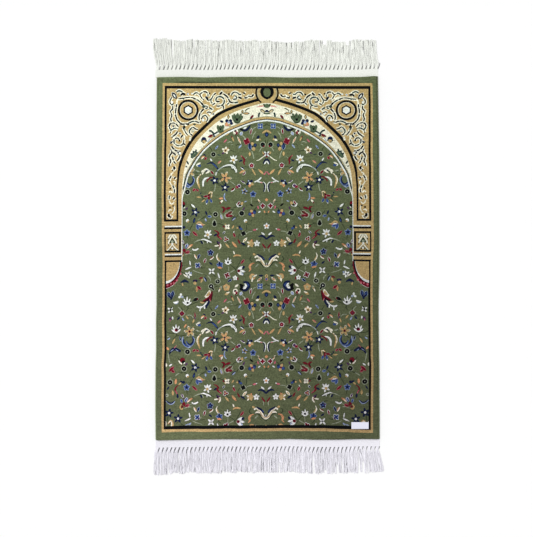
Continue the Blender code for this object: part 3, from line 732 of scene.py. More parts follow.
-100.7 132.1 leaf 0 3.8 2.4 c
-96.5 132.3 leaf 56 4 1.8 w
-95.9 136.9 leaf 48 7.2 2.5 r p
-94.4 138.9 leaf 128 4 2.2 r p
-97.3 150.2 bud 0 2.3 0 k s s0.5
-91.5 149.6 leaf 6 6 2.4 o
-85.1 150.2 leaf 122 6.2 2 n
-87.5 151.9 leaf 52 3.6 1.7 t
-99.2 156.4 leaf 34 5 1.5 n
-94.4 161.5 leaf 178 5.4 2.3 t
-89.6 164.8 leaf 172 5.2 2.2 n
-84.9 164.3 leaf 155 4.6 1.6 u w
-100.2 163.9 bud 0 1.6 0 s - k0.6
-85.6 170.4 leaf -18 4.4 1.7 b l
-81.2 169 leaf 24 5.2 1.8 b w
-77.6 169.4 leaf 48 6.8 2.1 o
-78.3 170.3 leaf 48 4.4 1 c
-83.5 173.3 bud 0 1.5 0 r
-84.8 176.3 bud 0 1.1 0 r
-80.3 175.6 leaf 84 4.6 1.8 r p
-97.9 183.2 bud 0 2.1 0 n
-97.9 183.2 five 12 4.8 2.3 n - w1.2
-89 189.8 bud 0 2.1 0 n
-89 189.8 five 5 4.9 2.3 n - w1.2
-101.2 195.7 leaf 0 6.4 1.9 c
"""
# The loom weaves the half design once, and once more further down: a row, and how far down its repeat is.
REPEAT = (
    (49, 160.3), (73, 160.2), (88, 159.8), (103, 160.0), (113, 160.5), (121, 157.8), (128, 155.9),
    (137, 155.0), (149, 154.8), (163, 154.0), (178, 153.0), (189, 151.7), (195, 150.5),
)
# The scrolls of the corners, then their leaves and dots.
SCROLLS = """
~ d 0.9 0.8 0.9 -89 21.9 -84.3 21.2 -80.3 20.4 -76.8 20.2 -73.2 21.1 -70 22.7 -67.7 24.2 -65.9 26.4
    -64.2 28.6
~ d 0.9 0.8 0.8 -91 27 -91 29.4 -91.7 33 -91.8 36.9 -91 41.1 -89.1 43.9 -87.3 45.6 -84.7 46.6
    -80.8 46.6 -77.8 45.2 -74.6 43.9 -71.4 44.1 -68.4 45.2 -66.9 44.2
~ d 1 0.7 0.7 -64.6 31.9 -66.5 34.2 -67.9 36.6 -68.6 40 -68 43.4
~ d 0.9 0.7 0.8 -95.7 20.4 -97.6 23.8 -97.2 26.6 -95.7 27.8 -93.9 26.4
~ s 0.9 0.7 0.7 -94.8 28.8 -94.8 31.8 -97.1 34.4 -95.5 37.9 -96.8 41.6
~ d 1 0.7 0.8 -96.8 41 -96.1 44.4
~ d 0.9 0.8 0.8 -98.4 49.4 -97.2 46.6 -94.2 45.6 -91.2 46.8 -88.8 49.6
~ d 0.9 0.7 0.7 -98.1 49.4 -97.5 51.5 -96.2 52.9 -97.2 55.8
~ d 0.9 0.8 0.6 -96.2 52.9 -94.2 51.5 -92 50.7 -89.1 51.7
~ d 1.1 1 0.5 -89.8 54.1 -91.6 56.7 -94 58.6 -95.8 60.3
~ d 1 0.9 0.6 -84.8 57.4 -86.6 60.2
~ d 0.9 1.2 0.8 -88 63.4 -88.6 61.4 -90.3 60.5 -92.6 61.4 -93.5 63.5 -93.2 65.7 -91.4 67.4
    -88.8 68.3 -85.5 67.4 -83.9 64.9 -83.6 62
~ d 0.9 0.8 0.7 -84.2 66.2 -82.3 67.2
~ d 1.1 0.6 1.1 -95.5 68.6 -94.1 71 -91.8 72.9 -89.7 73.7 -86.8 73.7
~ d 0.9 0.8 0.7 -88.4 74.4 -89 76 -87.3 77.6
~ d 0.9 0.8 0.7 -84.4 49.4 -83.2 52.4 -81.6 55.4 -79.6 57.8
~ d 1 0.7 0.9 -69.7 52 -72.3 51.4 -74.6 49.5 -76.6 51 -78.3 53.9 -77.2 56.5 -75.3 57.8
~ d 0.9 0.7 0.7 -91.3 15.5 -89.2 14.1 -86.5 14.6 -84.3 16.3
~ k 1.2 0.5 0.5 -87 18.6 -84.8 16.7 -82.3 17.4
~ d 0.9 0.7 0.7 -74.4 17.4 -71.4 15.2 -67.9 16.9 -65.2 14.4 -61.6 14.2 -60 16.2 -59.7 18.9
~ d 0.8 0.7 0.7 -67.7 17 -66.8 19.4 -64.1 22.4
~ d 0.9 0.7 0.7 -62.3 19 -60.8 21.1 -59.9 22.6 -58.1 22.4 -56.3 21.3 -55.2 19.4 -53.8 17.3
    -51.7 16.1
~ d 0.9 0.7 0.7 -56.4 21.6 -56.9 23.8 -55.6 26
~ d 1 0.9 0.7 -55.5 27.6 -52 25.2
~ d 1 1 0.8 -48 24.3 -51.2 24.3 -51.9 22.6 -51 20.4 -48.9 19.4 -46 19.7 -43.8 21.6 -43.3 24
    -44.1 26.7 -46 28 -48.9 28.8 -51.2 28.6
~ d 0.9 0.8 0.5 -45.2 27.6 -44.1 29.4 -44.1 31.6
~ k 1.2 0.6 0.5 -48 17.4 -44.5 14.3
~ d 1 0.7 0.7 -44.1 16.9 -41.4 18.6 -39.3 21.3 -37.9 24.2 -36.5 25.2 -34.2 25.6 -31.3 25.4
    -29.4 24.7
~ d 0.9 0.7 0.7 -38.2 25.3 -40.6 27.6
~ d 0.9 0.7 0.8 -36.3 18.2 -35 16 -32.6 14.8 -30.2 15.4 -28 17.3 -25.8 16.5
~ d 0.9 0.7 0.8 -35 21.3 -33.1 22.5 -30.9 21.1 -31 19.2 -33 18.4
~ k 1.3 1.1 0.4 -29.2 20 -27.8 20.2 -25.9 21.5
~ d 1 0.8 0.7 -23.8 15.2 -22.2 16.6
~ d 0.9 1.2 0.7 -22.9 19.2 -22.1 20.6 -20.3 20.4 -18.5 18.8 -16.1 19.8 -14.3 18.6 -13.3 17
~ d 1.1 0.8 0.6 -58.2 30 -54.4 33
~ d 0.9 0.8 0.8 -60.6 35.5 -58.9 34.3 -56.3 35.6
~ d 0.9 0.8 0.9 -62.5 37.6 -60.6 39.5 -59.7 41.9 -61.5 43.8
~ d 0.9 0.6 0.8 -61.5 37.8 -64.1 38.2 -65.9 40 -66 41.6
~ d 0.9 0.7 0.7 -64.5 27.6 -63.1 29 -62.1 28.2 -60.5 28.6 -60.3 30.4 -61.9 31 -63.1 29.8
~ c 1.7 1 1 -89 21.9 -90.4 23.6 -90.9 27
~ c 1.9 0.8 0.8 -76.9 59.6 -78.1 63.2
~ c 1.5 0.8 0.8 -83 57.8 -83.2 61.6 -82.9 65
~ c 1.5 0.8 0.8 -79.4 20 -71.5 19.4 -68.1 21.4
~ c 2 0.8 0.8 -59.1 40.8 -54.4 37 -49.8 34 -45 31.6
~ d 1 0.7 0.9 -96 72.3 -95.5 74 -95.5 75.8
~ k 1 0.8 0.8 -95.5 75.7 -97.2 78.1 -97.8 80.6 -96.5 83.9 -97.9 87 -97.5 89
~ k 1 0.9 0.7 -94.7 75.3 -92.7 76.3 -91.5 78.4
~ d 1 0.7 0.9 -94.8 79.4 -94.2 81.9 -93.3 84.3 -91.8 86.4
~ k 1.2 0.9 0.8 -87.5 78.6 -88.8 81.7 -90.4 83.2
~ k 1.4 0.6 0.7 -93.9 89.2 -92.8 91.2 -95.2 93.4
~ c 1.2 0.8 0.8 -94.2 95.4 -96.5 96.6 -95.7 98.2
~ k 1 0.8 0.7 -96.1 98.4 -98 101.5 -98.3 103.7
~ c 1 0.8 0.8 -98 104.2 -96.5 107 -94.7 108.8
~ d 1 0.6 0.8 -94.7 108.3 -93 112.6 -93.4 115.9
~ k 1.3 0.6 0.6 -92 99.8 -93.5 101.7
~ c 1.4 0.8 0.8 -94.2 104.2 -92.3 104.9 -92.9 107.3
~ c 1.4 0.8 0.8 -98.5 115.2 -96.7 114.1 -95.2 115.9
~ d 1 0.7 0.8 -97.4 118.3 -98.3 120.2 -98.2 122.5
~ k 1.3 0.6 0.6 -92.5 120.3 -94.7 122.4
~ c 1.2 0.7 0.7 -98.3 123.5 -97.2 126.1 -95.2 126.8 -93.4 124.8
~ c 1.1 0.7 0.7 -93.6 128.9 -92.9 131.9 -94.7 135.7 -95.9 136.5
~ c 1.1 0.7 0.7 -99.3 134.5 -98 132.5 -95.9 133
~ k 1.7 0.5 0.5 -98.6 136.5 -98.8 138.8 -96.6 140.6
~ c 1.1 0.7 0.7 -98 141.3 -95.9 141.1 -94.7 138.5
"""
SPOTS = """
-93.2 18.9 leaf -38 8.4 4.2 k w
-93.2 19 leaf -38 4.8 1.5 w
-83.2 49.4 leaf 175 4.6 2.4 d
-83.2 49.2 bud 0 1 0 k
-82.7 52 bud 0 0.6 0 s
-85.4 46.9 leaf 86 4.6 1.6 k
-79.9 46.9 leaf 98 3.8 1.7 k
-88.4 44.4 leaf 140 4.4 1.5 k
-91 40.6 leaf 175 4 1.5 k
-82.2 47.6 bud 0 0.7 0 c
-73.1 46.9 leaf 85 3.4 1.9 d
-65.7 26.2 leaf 140 5.6 2 k
-67.9 24.2 leaf 120 3.4 1.5 d
-64.1 29 bud 0 1.5 0 d
-65.1 32.6 leaf 38 4.4 1.9 k
-61.3 31 leaf 80 3 1.2 d
-57.7 30.8 leaf 120 3.6 1.5 d
-73.3 21.5 leaf 96 3 1.4 k
-84.2 21.6 bud 0 0.8 0 d
-65.1 39.6 leaf 60 2.6 1.4 k
-60.9 43.4 leaf 20 2.6 1.3 k
-76.1 57.2 leaf 125 3.4 1.6 k
-88 63.2 bud 0 0.9 0 k
-93.4 63.2 leaf 0 3.8 1.6 k
-96.2 65.2 bud 0 1.3 0 k
-83.1 66.6 leaf 130 3.2 1.5 k
-84.2 17.6 leaf 110 4.4 1.4 k
-60.3 20.2 leaf 150 3.2 1.4 k
-58.7 22.5 leaf 90 3 1.3 k
-94.2 48.9 bud 0 0.8 0 k w
-87.4 56.2 bud 0 0.8 0 k w
-95.7 64.9 leaf 40 3.6 1.7 k w
-96 72.6 leaf 150 2.8 1.2 n c
-73.1 46.9 leaf 80 2.8 1.4 d
-74.6 53.8 bud 0 0.9 0 s w
-58.1 15.8 bud 0 0.8 0 k
-61.6 19.3 bud 0 0.8 0 n
-27.5 20.3 leaf 100 4.6 1.8 k
-32.2 21.8 leaf 110 3 1.3 k
-35.2 16.6 leaf 42 4 1.3 d
-30.8 15.2 leaf 110 3.6 1.2 d
-21.7 20.8 leaf 80 3.6 1.4 k
-14.7 18.2 leaf 42 3.6 1.4 k
-23.7 15.9 leaf 118 3.4 1.4 k
-38.5 17 bud 0 0.9 0 k
-32.5 20.2 bud 0 0.8 0 w
-54.3 36.6 bud 0 0.8 0 k w
-57.7 36.6 bud 0 0.9 0 w
-64.5 42.6 bud 0 1.3 0 w
-80 17 leaf 60 2.4 1.1 l w
-75.7 16.4 bud 0 0.8 0 w
-95.3 25 bud 0 0.9 0 w
-86.7 75.6 bud 0 0.7 0 w
-97.2 111.4 bud 0 0.8 0 k
-97.7 130.4 bud 0 0.9 0 k
-94.4 128.8 bud 0 0.8 0 k
-89.1 75.1 bud 0 0.9 0 k w
-87.4 76.1 bud 0 0.8 0 w
-95.2 74.6 bud 0 0.7 0 k
"""
# The flowers of the cream band round the niche, and those of the field that aren't repeated.
FLOWERS = """
~ p 0.9 0.4 0.8 -10.6 30 -7.4 29.6 -4.4 29.2 -2 28.6
~ t 0.7 0.4 0.8 -8.6 28.6 -5.2 28.4 -3.2 27.8
-0.4 31 tulip 0 4.4 2.4 e
-2.6 28 leaf -56 3.6 1.8 e
-0.4 28.8 bud 0 1.7 0 y
-2 27.8 leaf -50 1.8 0.9 y
-4.4 34 leaf -62 6.2 3.2 d
-4.2 34.3 leaf -62 4.4 1.9 t
-4.6 34.2 leaf -62 2.8 0.8 c
~ d 1.4 0.8 1 -2.6 34.4 -0.4 35
-0.4 34 bud 0 1.1 0 n
-0.4 36.7 leaf 90 6.2 1.7 y
-2.6 36.4 leaf 70 2.6 1.2 e
~ d 1.9 0.8 0.9 -7.2 35.6 -8 37.4 -8.4 40
-15.4 40 leaf 40 6 2.5 k
-15 39.6 leaf 40 4.8 1.8 r
-21.3 36.3 leaf 92 8 2.6 e
-21.5 36.3 leaf 92 5.6 1.6 t
-20.3 36.2 leaf 92 3 0.9 o
-24.9 34.6 leaf 5 4.2 2.4 e
-24.9 34.4 leaf 5 2.6 1.2 t
~ e 1.2 0.7 0.8 -22.1 34.4 -21.3 32.8 -19.7 31.8 -17.7 31.2
-30.3 44.6 tulip 4 8.8 3.2 y e
-30.3 42.4 bud 0 3.6 0 y e
-33.7 41.6 leaf -35 3.6 2.4 y e
-26.4 41.2 leaf 40 3.6 2.4 y e
-32.7 38.6 leaf -24 4 1.8 y e
-26.9 38.2 leaf 28 4 1.8 y e
-31.7 40.6 leaf -18 4.6 0.9 e
-28.3 40.4 leaf 22 4.4 0.9 e
-32.7 44 leaf -50 3 1 e
-27.5 44 leaf 50 3 1 e
-30.1 45.4 leaf 90 4 1.2 e
-30.3 42.4 bud 0 1.2 0 k
-39 39.8 leaf 0 4.8 2.6 e
-39 39.9 leaf 0 3.4 1.4 t
-40.6 43.6 bud 0 1.7 0 n
-36.9 43.8 bud 0 1.7 0 n
-35.9 46.3 bud 0 1.5 0 n
-41 47 leaf 200 4.2 2.8 o
-38.1 47.8 leaf 150 3.6 2.2 t
-39.7 48.4 leaf 180 2.2 1.2 p
-38.7 45.2 bud 0 1.2 0 l
-45.9 44.2 leaf 112 4.8 2.5 k
-46.1 44.1 leaf 112 3 1.4 n
-49.1 50.6 leaf -16 5.8 2.8 y e
-44.9 50.4 leaf 16 5.8 2.8 y e
-47 51 leaf 0 5.2 2.6 y e
-47 52.6 bud 0 2.7 0 y e
-48.1 50.8 leaf -12 3 0.8 e
-45.9 50.8 leaf 12 3 0.8 e
-47 54.6 leaf 90 3.2 1 e
-47.2 52 leaf 20 2.8 1.6 k
-49.8 54.6 leaf 225 2.8 1.6 d
-50.6 55.8 bud 0 0.6 0 w
-44.8 54.2 leaf 100 2.6 1.2 d
~ d 1.9 0.9 0.9 -58.6 53.1 -56 53.9 -54.2 55.8 -53.5 57.4
~ d 1.6 0.9 0.9 -53.8 56.6 -52 55.8 -50.2 54.4
-53.5 58.6 leaf 75 3.6 2 n
-54 56.9 bud 0 0.9 0 d
-52.2 57.5 bud 0 0.7 0 w
-56.2 59.6 leaf 64 4.2 1.9 t
-57.2 58.5 leaf 64 6.6 2.6 k
-57.2 58.5 leaf 64 5.8 2 r
~ l 1 0.5 0.7 -57.8 60.8 -58.8 62.6 -60.2 64.4
-63.7 62 bud 0 2.5 0 n
-65.5 63.4 bud 0 1 0 d
-61.7 63.3 bud 0 1 0 d
-63.5 64.3 bud 0 1.7 0 t
-64.5 65 bud 0 0.6 0 e
~ d 4.4 0.5 0.8 -76.1 80.6 -74.1 77.6 -70.6 74
-76.2 76.6 leaf 300 2.6 2 d
-74.1 74.4 leaf 325 2.6 2 d
-71.5 72.8 leaf 345 2.4 1.8 d
~ y 2 0.5 0.6 -75.7 80 -73.7 77.4 -70.9 74.8
-73.1 75.6 leaf 320 1.6 0.8 s
-79.2 198 five 20 3.9 2 w - k0.9
-82.2 198.8 leaf 130 6 1.7 c
~ l 1.1 0.5 0.5 -81.5 348.2 -78.7 347.4 -75.8 346.6
-79.9 85.2 leaf 150 5 1.9 d
-81.1 89.2 leaf 110 2.8 1.4 d
"""
# Edges of the niche, from the mirror line round and down, as columns and rows.
ARCH_LINE = (
    (-0.3, 21.6), (-8.9, 22.8), (-17.8, 25.1), (-27.0, 27.8), (-40.6, 32.8), (-50.6, 37.9),
    (-59.1, 45.4), (-67.6, 53.6), (-74.1, 60.4), (-79.5, 68.4), (-83.7, 76.8), (-86.7, 85.3),
    (-88.7, 93.8), (-89.5, 102.2), (-90.1, 113.0), (-90.1, 144.0),
)
CREAM_OUTER = (
    (-0.3, 26.1), (-7.2, 26.9), (-22.5, 31.1), (-35.1, 35.9), (-47.8, 42.8), (-60.5, 52.9),
    (-69.0, 62.0), (-75.7, 72.0), (-80.6, 82.9), (-83.5, 93.8), (-84.7, 103.0), (-85.3, 111.0),
    (-85.8, 120.0), (-85.8, 151.0),
)
FIELD_EDGE = (
    (-0.3, 43.5), (-10.2, 44.7), (-18.2, 46.8), (-35.1, 53.3), (-47.8, 60.3), (-60.5, 70.0),
    (-68.8, 79.5), (-75.5, 90.4), (-79.2, 97.5), (-81.5, 106.0), (-83.1, 113.0), (-84.9, 119.0),
    (-85.5, 126.0), (-85.6, 149.5), (-85.6, 185.3),
)


# Dashes are as long and as far apart as this, in squares, and none is shorter than the last value.
DASH_LENGTH, DASH_GAP, SHORTEST_DASH = (3.0, 8.0), (0.25, 0.7), 0.8
# A dashed line is so many times as wide as charted.
DASH_WIDENING = (1.35, 1.85)
# Whole lines in these yarns have a dark edge, unless they are slim.
EDGED_LINES, SLIM_LINE = "cwtl", 1.2
# The stem of a flower: how wide, how far past its petals, and how far its middle bends aside.
STEM_WIDTH, STEM_LENGTH, STEM_BEND = 0.8, (3.5, 7.0), 2.2
# Flowers smaller than this have no stem.
SMALL_REACH = 1.5


def dashes(points, chance):
    """A path in short lengths with small gaps between them."""
    path = bow(points, 0.6)
    gone = np.concatenate([[0], np.cumsum(np.hypot(*np.diff(path, axis=0).T))])
    at = 0.0
    while at < gone[-1] - SHORTEST_DASH:
        end = min(at + chance.uniform(*DASH_LENGTH), gone[-1])
        along = np.linspace(at, end, max(3, round((end - at) / 1.2)))
        yield np.column_stack([np.interp(along, gone, path[:, 0]), np.interp(along, gone, path[:, 1])])
        at = end + chance.uniform(*DASH_GAP)


def weave_line(points, width, yarn, start, end, chance, halo, dashed):
    """Weave a table's line: its cream halo alone, or the line in dashes, or whole.

    A cream line has no dashes, as its halo is the whole of it.
    """
    if halo:
        line(points, width + (halo if yarn != "c" else 0.0), "c")
    elif dashed and yarn != "c":
        mixed = ("s", "s", "k") if yarn == "s" else (yarn, "k", "k")
        for length in dashes(points, chance):
            line(length, width * chance.uniform(*DASH_WIDENING), chance.choice(mixed), 0.8, 0.8)
    elif not dashed:
        if yarn in EDGED_LINES and width > SLIM_LINE:
            line(points, width + 2 * DARK_EDGE, "e", start, end)
        line(points, width, yarn, start, end)


def weave_stem(x, y, reach, chance):
    """Weave the thin dark stem of a flower, which leaves it in any direction."""
    turn, bend = chance.uniform(0, math.tau), chance.uniform(-STEM_BEND, STEM_BEND)
    out = np.array([math.sin(turn), math.cos(turn)])
    aside = np.array([math.cos(turn), -math.sin(turn)])
    length = reach + chance.uniform(*STEM_LENGTH)
    middle = (x, y) + out * length / 2 + aside * bend
    line([(x, y), middle, (x, y) + out * length], STEM_WIDTH, "e", 1.0, 0.5)


def weave(table, moved=False, halo=0.0, dashed=False, stems=False):
    """Weave a table's rows, perhaps moved down to their repeat, and with stems to their flowers.

    A halo weaves the lines alone, in cream and wider by so much. Dashed weaves the lines in dashes.
    """
    chance = random.Random(7)
    for row in table.strip().replace("\n    ", " ").splitlines():
        words = row.split()
        if words[0] == "~":
            yarn, points = words[1], np.array(words[5:], float).reshape(-1, 2)
            points[:, 1] += moved * np.interp(points[:, 1].mean(), *np.array(REPEAT).T)
            width, start, end = (float(word) for word in words[2:5])
            weave_line(points, width, yarn, start, end, chance, halo, dashed)
        elif not halo:
            x, y, heading, reach, width = (float(words[i]) for i in (0, 1, 3, 4, 5))
            y += moved * np.interp(y, *np.array(REPEAT).T)
            kind = words[2]
            if stems and kind != "leaf" and reach > SMALL_REACH:
                weave_stem(x, y, reach, chance)
            motif(x, y, kind, heading, reach, width, *(word.replace("-", "") for word in words[6:]))


weave(FIELD, stems=True)
weave(FIELD, moved=True, stems=True)

# The corner outside the niche reaches to this column and row.
CORNER_COLUMN, CORNER_ROW = -103, 9.5
CURVE_STEP = 1.6


def outside(path, offset, last):
    """The corner of the chart outside a curve that starts at the mirror line, down to a last row.

    The offset moves the curve inwards, and may be given as (row, offset) pairs.
    """
    curve = bow(path, CURVE_STEP)
    shift = np.interp(curve[:, 1], *np.array(offset).T) if np.ndim(offset) else offset
    curve = curve + sideways(curve) * np.reshape(shift, (-1, 1))
    curve = curve[curve[:, 1] < last]
    return np.vstack([
        [(PAST_MIRROR, curve[0, 1])], curve, [(curve[-1, 0], last), (CORNER_COLUMN, last)],
        [(CORNER_COLUMN, CORNER_ROW), (PAST_MIRROR, CORNER_ROW)],
    ])


# The niche, from its edge outwards: white, black, tan, sage, cream, tan, black arch line, tan corners.
for path, offset, last, yarn in (
    (FIELD_EDGE, ((44, 0.75), (100, 0.7), (120, 0.5), (148, 0.45), (154, 0.4)), 185, "w"),
    (FIELD_EDGE, ((44, -0.75), (100, -0.7), (118, -0.5), (148, -0.45), (154, -0.4)), 185, "k"),
    (FIELD_EDGE, ((44, -1.6), (95, -1.6), (118, -0.5), (148, -0.45), (154, -0.4)), 185, "t"),
    (FIELD_EDGE, ((44, -3.8), (57, -3.5), (70, -2.8), (100, -2.3), (112, -1.6), (118, -0.6)), 119, "s"),
    (FIELD_EDGE, ((44, -4.4), (57, -4.1), (70, -3.4), (100, -2.8), (112, -2.0), (118, -0.7)), 119, "c"),
    (CREAM_OUTER, 0.0, 151, "t"),
    (ARCH_LINE, ((22, 1.45), (60, 1.55), (85, 1.35), (103, 0.95)), 144, "k"),
    (ARCH_LINE, ((22, -1.45), (60, -1.55), (85, -1.35), (103, -0.95)), 144, "t"),
):
    fill(outside(path, offset, last), yarn)
# Between two rows low down the arch its edge has a line of dark dashes as well.
DASHES_FROM, DASHES_TO = 78, 113
lower_edge = bow(FIELD_EDGE, CURVE_STEP)
lower_edge = lower_edge + sideways(lower_edge) * -1.5
lower_edge = lower_edge[(lower_edge[:, 1] > DASHES_FROM) & (lower_edge[:, 1] < DASHES_TO)]
for length in dashes(lower_edge, random.Random(3)):
    line(length, 1.3, "d", 0.8, 0.8)

# The frame: black line, tan band, and the green border out past the edges of the chart.
LEFT_LINE = (
    (-102.0, 9.0), (-101.9, 73.0), (-102.6, 100.0), (-102.6, 159.0), (-101.8, 193.0), (-101.7, 273.0),
    (-102.3, 291.0), (-102.2, 339.0), (-102.2, 351.5),
)
BEYOND_LEFT, BEYOND_TOP, BEYOND_FOOT = -114, -4, 366
# The lines along the ends come down by this much from the mirror line to the corner.
END_SLOPE = 0.2
frame_line = bow(LEFT_LINE, 4)
for offset, top, foot, yarn in (
    (1.1, 11.7, 348.4, "k"), (-1.1, 8.9, 351.6, "t"), (-3.2, 6.2, 354.5, "g"),
):
    inner = frame_line + sideways(frame_line) * offset
    inner = inner[(inner[:, 1] > top) & (inner[:, 1] < foot)]
    fill(np.vstack([
        [(PAST_MIRROR, top), (inner[0, 0], top + END_SLOPE)], inner,
        [(inner[-1, 0], foot + END_SLOPE), (PAST_MIRROR, foot), (PAST_MIRROR, BEYOND_FOOT)],
        [(BEYOND_LEFT, BEYOND_FOOT), (BEYOND_LEFT, BEYOND_TOP), (PAST_MIRROR, BEYOND_TOP)],
    ]), yarn)


BAR_SLOPE = 0.1


def bar(left, top, right, foot, yarn):
    """Weave a bar across the chart, with its right end a little lower than its left one."""
    fill([(left, top), (right, top + BAR_SLOPE), (right, foot + BAR_SLOPE), (left, foot)], yarn)


# The pillar under the arch: its ground and bars, and the frame round its leaf.
for row in (
    (-104.5, 144.0, -86.6, 183.6, "t"), (-103.6, 142.1, -89.1, 144.3, "k"),
    (-102.9, 148.6, -85.2, 149.9, "w"), (-103.6, 149.9, -85.7, 152.0, "k"),
    (-102.8, 176.6, -85.4, 177.9, "w"), (-103.2, 177.9, -85.6, 179.8, "k"),
    (-103.2, 183.0, -85.7, 184.9, "k"), (-103.3, 154.6, -86.5, 175.3, "k"),
    (-101.9, 156.5, -88.5, 173.3, "t"),
):
    bar(*row)
PILLAR = """
~ c 2.4 0.8 0.8 -97.6 158.2 -93 158.2
~ c 1.8 0.8 0.8 -97.5 157.6 -99.6 161.6
~ c 1.8 0.8 0.8 -93 157.6 -90.8 161.6
~ k 1.1 0.8 0.8 -99.4 161 -99.8 162.8
~ k 1.1 0.8 0.8 -90.9 161 -90.5 162.8
~ c 1.6 0.8 0.8 -95.3 158 -98.6 164.2 -98.9 167
~ c 1.6 0.8 0.8 -95.3 158 -91.8 164.2 -91.1 166.8
~ k 1.1 0.8 0.6 -98.9 166.6 -99.3 168.6
~ k 1.1 0.8 0.6 -91.1 166.4 -90.6 168.6
~ e 2.3 0.6 1 -95.3 161.4 -97.5 165.8
~ e 2.3 0.6 1 -95.3 161.4 -93.1 165.8
-95.3 164.4 bud 0 1.2 0 s
-95.3 166.8 bud 0 1 0 w
~ c 1.4 0.8 0.8 -95.3 167.4 -99.6 172.4
~ c 1.4 0.8 0.8 -95.3 167.4 -90.8 172.4
~ e 1.3 0.7 0.9 -95.3 169.8 -97.3 172.6
~ e 1.3 0.7 0.9 -95.3 169.8 -93.3 172.6
-95.2 171.2 bud 0 0.9 0 w
~ c 1.3 0.8 0.8 -100.4 173 -99 171.8
~ c 1.3 0.8 0.8 -91.4 171.8 -89.4 173
~ y 1.3 0.8 0.8 -99.2 173.2 -98 172.6
~ y 1.3 0.8 0.8 -92.2 172.6 -91 173.2
"""
weave(PILLAR)

# The quarter round under the pillar: how wide and how deep each yarn reaches, then its pink dots.
QUARTER_LEFT, QUARTER_TOP = -102.2, 185.0
QUARTER_CORNER = -101.3
quarter = np.linspace(0, math.pi / 2, 15)
for wide, deep, yarn in (
    (17.0, 26.2, "w"), (17.0, 25.9, "r"), (16.0, 21.9, "k"), (14.6, 21.2, "w"), (14.3, 18.8, "t"),
):
    arc = np.column_stack([QUARTER_LEFT + wide * np.cos(quarter), QUARTER_TOP + deep * np.sin(quarter)])
    fill(np.vstack([[(QUARTER_CORNER, QUARTER_TOP)], arc[:-1], [(QUARTER_CORNER, QUARTER_TOP + deep)]]), yarn)
for x, y, size in (
    (-86.6, 197.0, 0.8), (-90.4, 203.6, 1.0), (-93.4, 206.4, 1.1), (-96.4, 206.4, 1.0), (-99.8, 207.8, 1.1),
):
    disc(x, y, size, "p")

weave(FLOWERS)

# The roundel in the corner with a six-sided eye, and the scrolls round it.
ROUNDEL = (-79.3, 32.8)
for size, yarn in ((10.35, "k"), (8.1, "c"), (7.7, "t")):
    disc(*ROUNDEL, size, yarn)
sixths = np.arange(6) * math.tau / 6
for size, yarn in ((5.3, "k"), (3.7, "w"), (1.5, "c")):
    fill([(ROUNDEL[0] + size * math.sin(turn), ROUNDEL[1] + size * math.cos(turn)) for turn in sixths], yarn)
weave(SCROLLS, halo=2.3)
weave(SCROLLS, dashed=True)
weave(SPOTS)

# The round boss over the point of the arch, with its green eye.
BOSS = [(-9.0, 9.0), (-10.6, 12.6), (-11.1, 16.2), (-10.5, 19.5), (-8.8, 22.6), (-5.8, 25.7)]
BOSS_HEART = [
    (-7.0, 15.7), (-6.7, 12.8), (-5.2, 10.6), (4, 10.6), (4, 21.8), (0, 22.7), (-3.0, 21.4), (-5.8, 19.0),
]
fill(BOSS + [(3, 25.8), (3, 9.6), (-9, 9.6)], "t")
line([(x + 1.5, y) for x, y in BOSS[:-1]], 0.5, "s", 0.6, 0.6)
line(BOSS, 1.7, "k", 1.0, 0.9)
fill(BOSS_HEART, "k")
disc(0, 15.6, 3.75, "g", 1.2)
bar(-14, 9.0, 3, 11.5, "k")

# The chart becomes a surface: points down the sides, across half an end, and in a loose grid between,
# which keeps some room to the edges and to the mirror line. All are in squares.
SIDE_POINTS = 200
HALF_END_POINTS = 62
GRID_STEP = (3.8, 3.7)
GRID_ROOM = (3.6, 3.3)
MIRROR_ROOM, FOOT_ROOM = 1.5, 2
GRID_SHAKE = 0.5
MERGE_WITHIN = 0.02


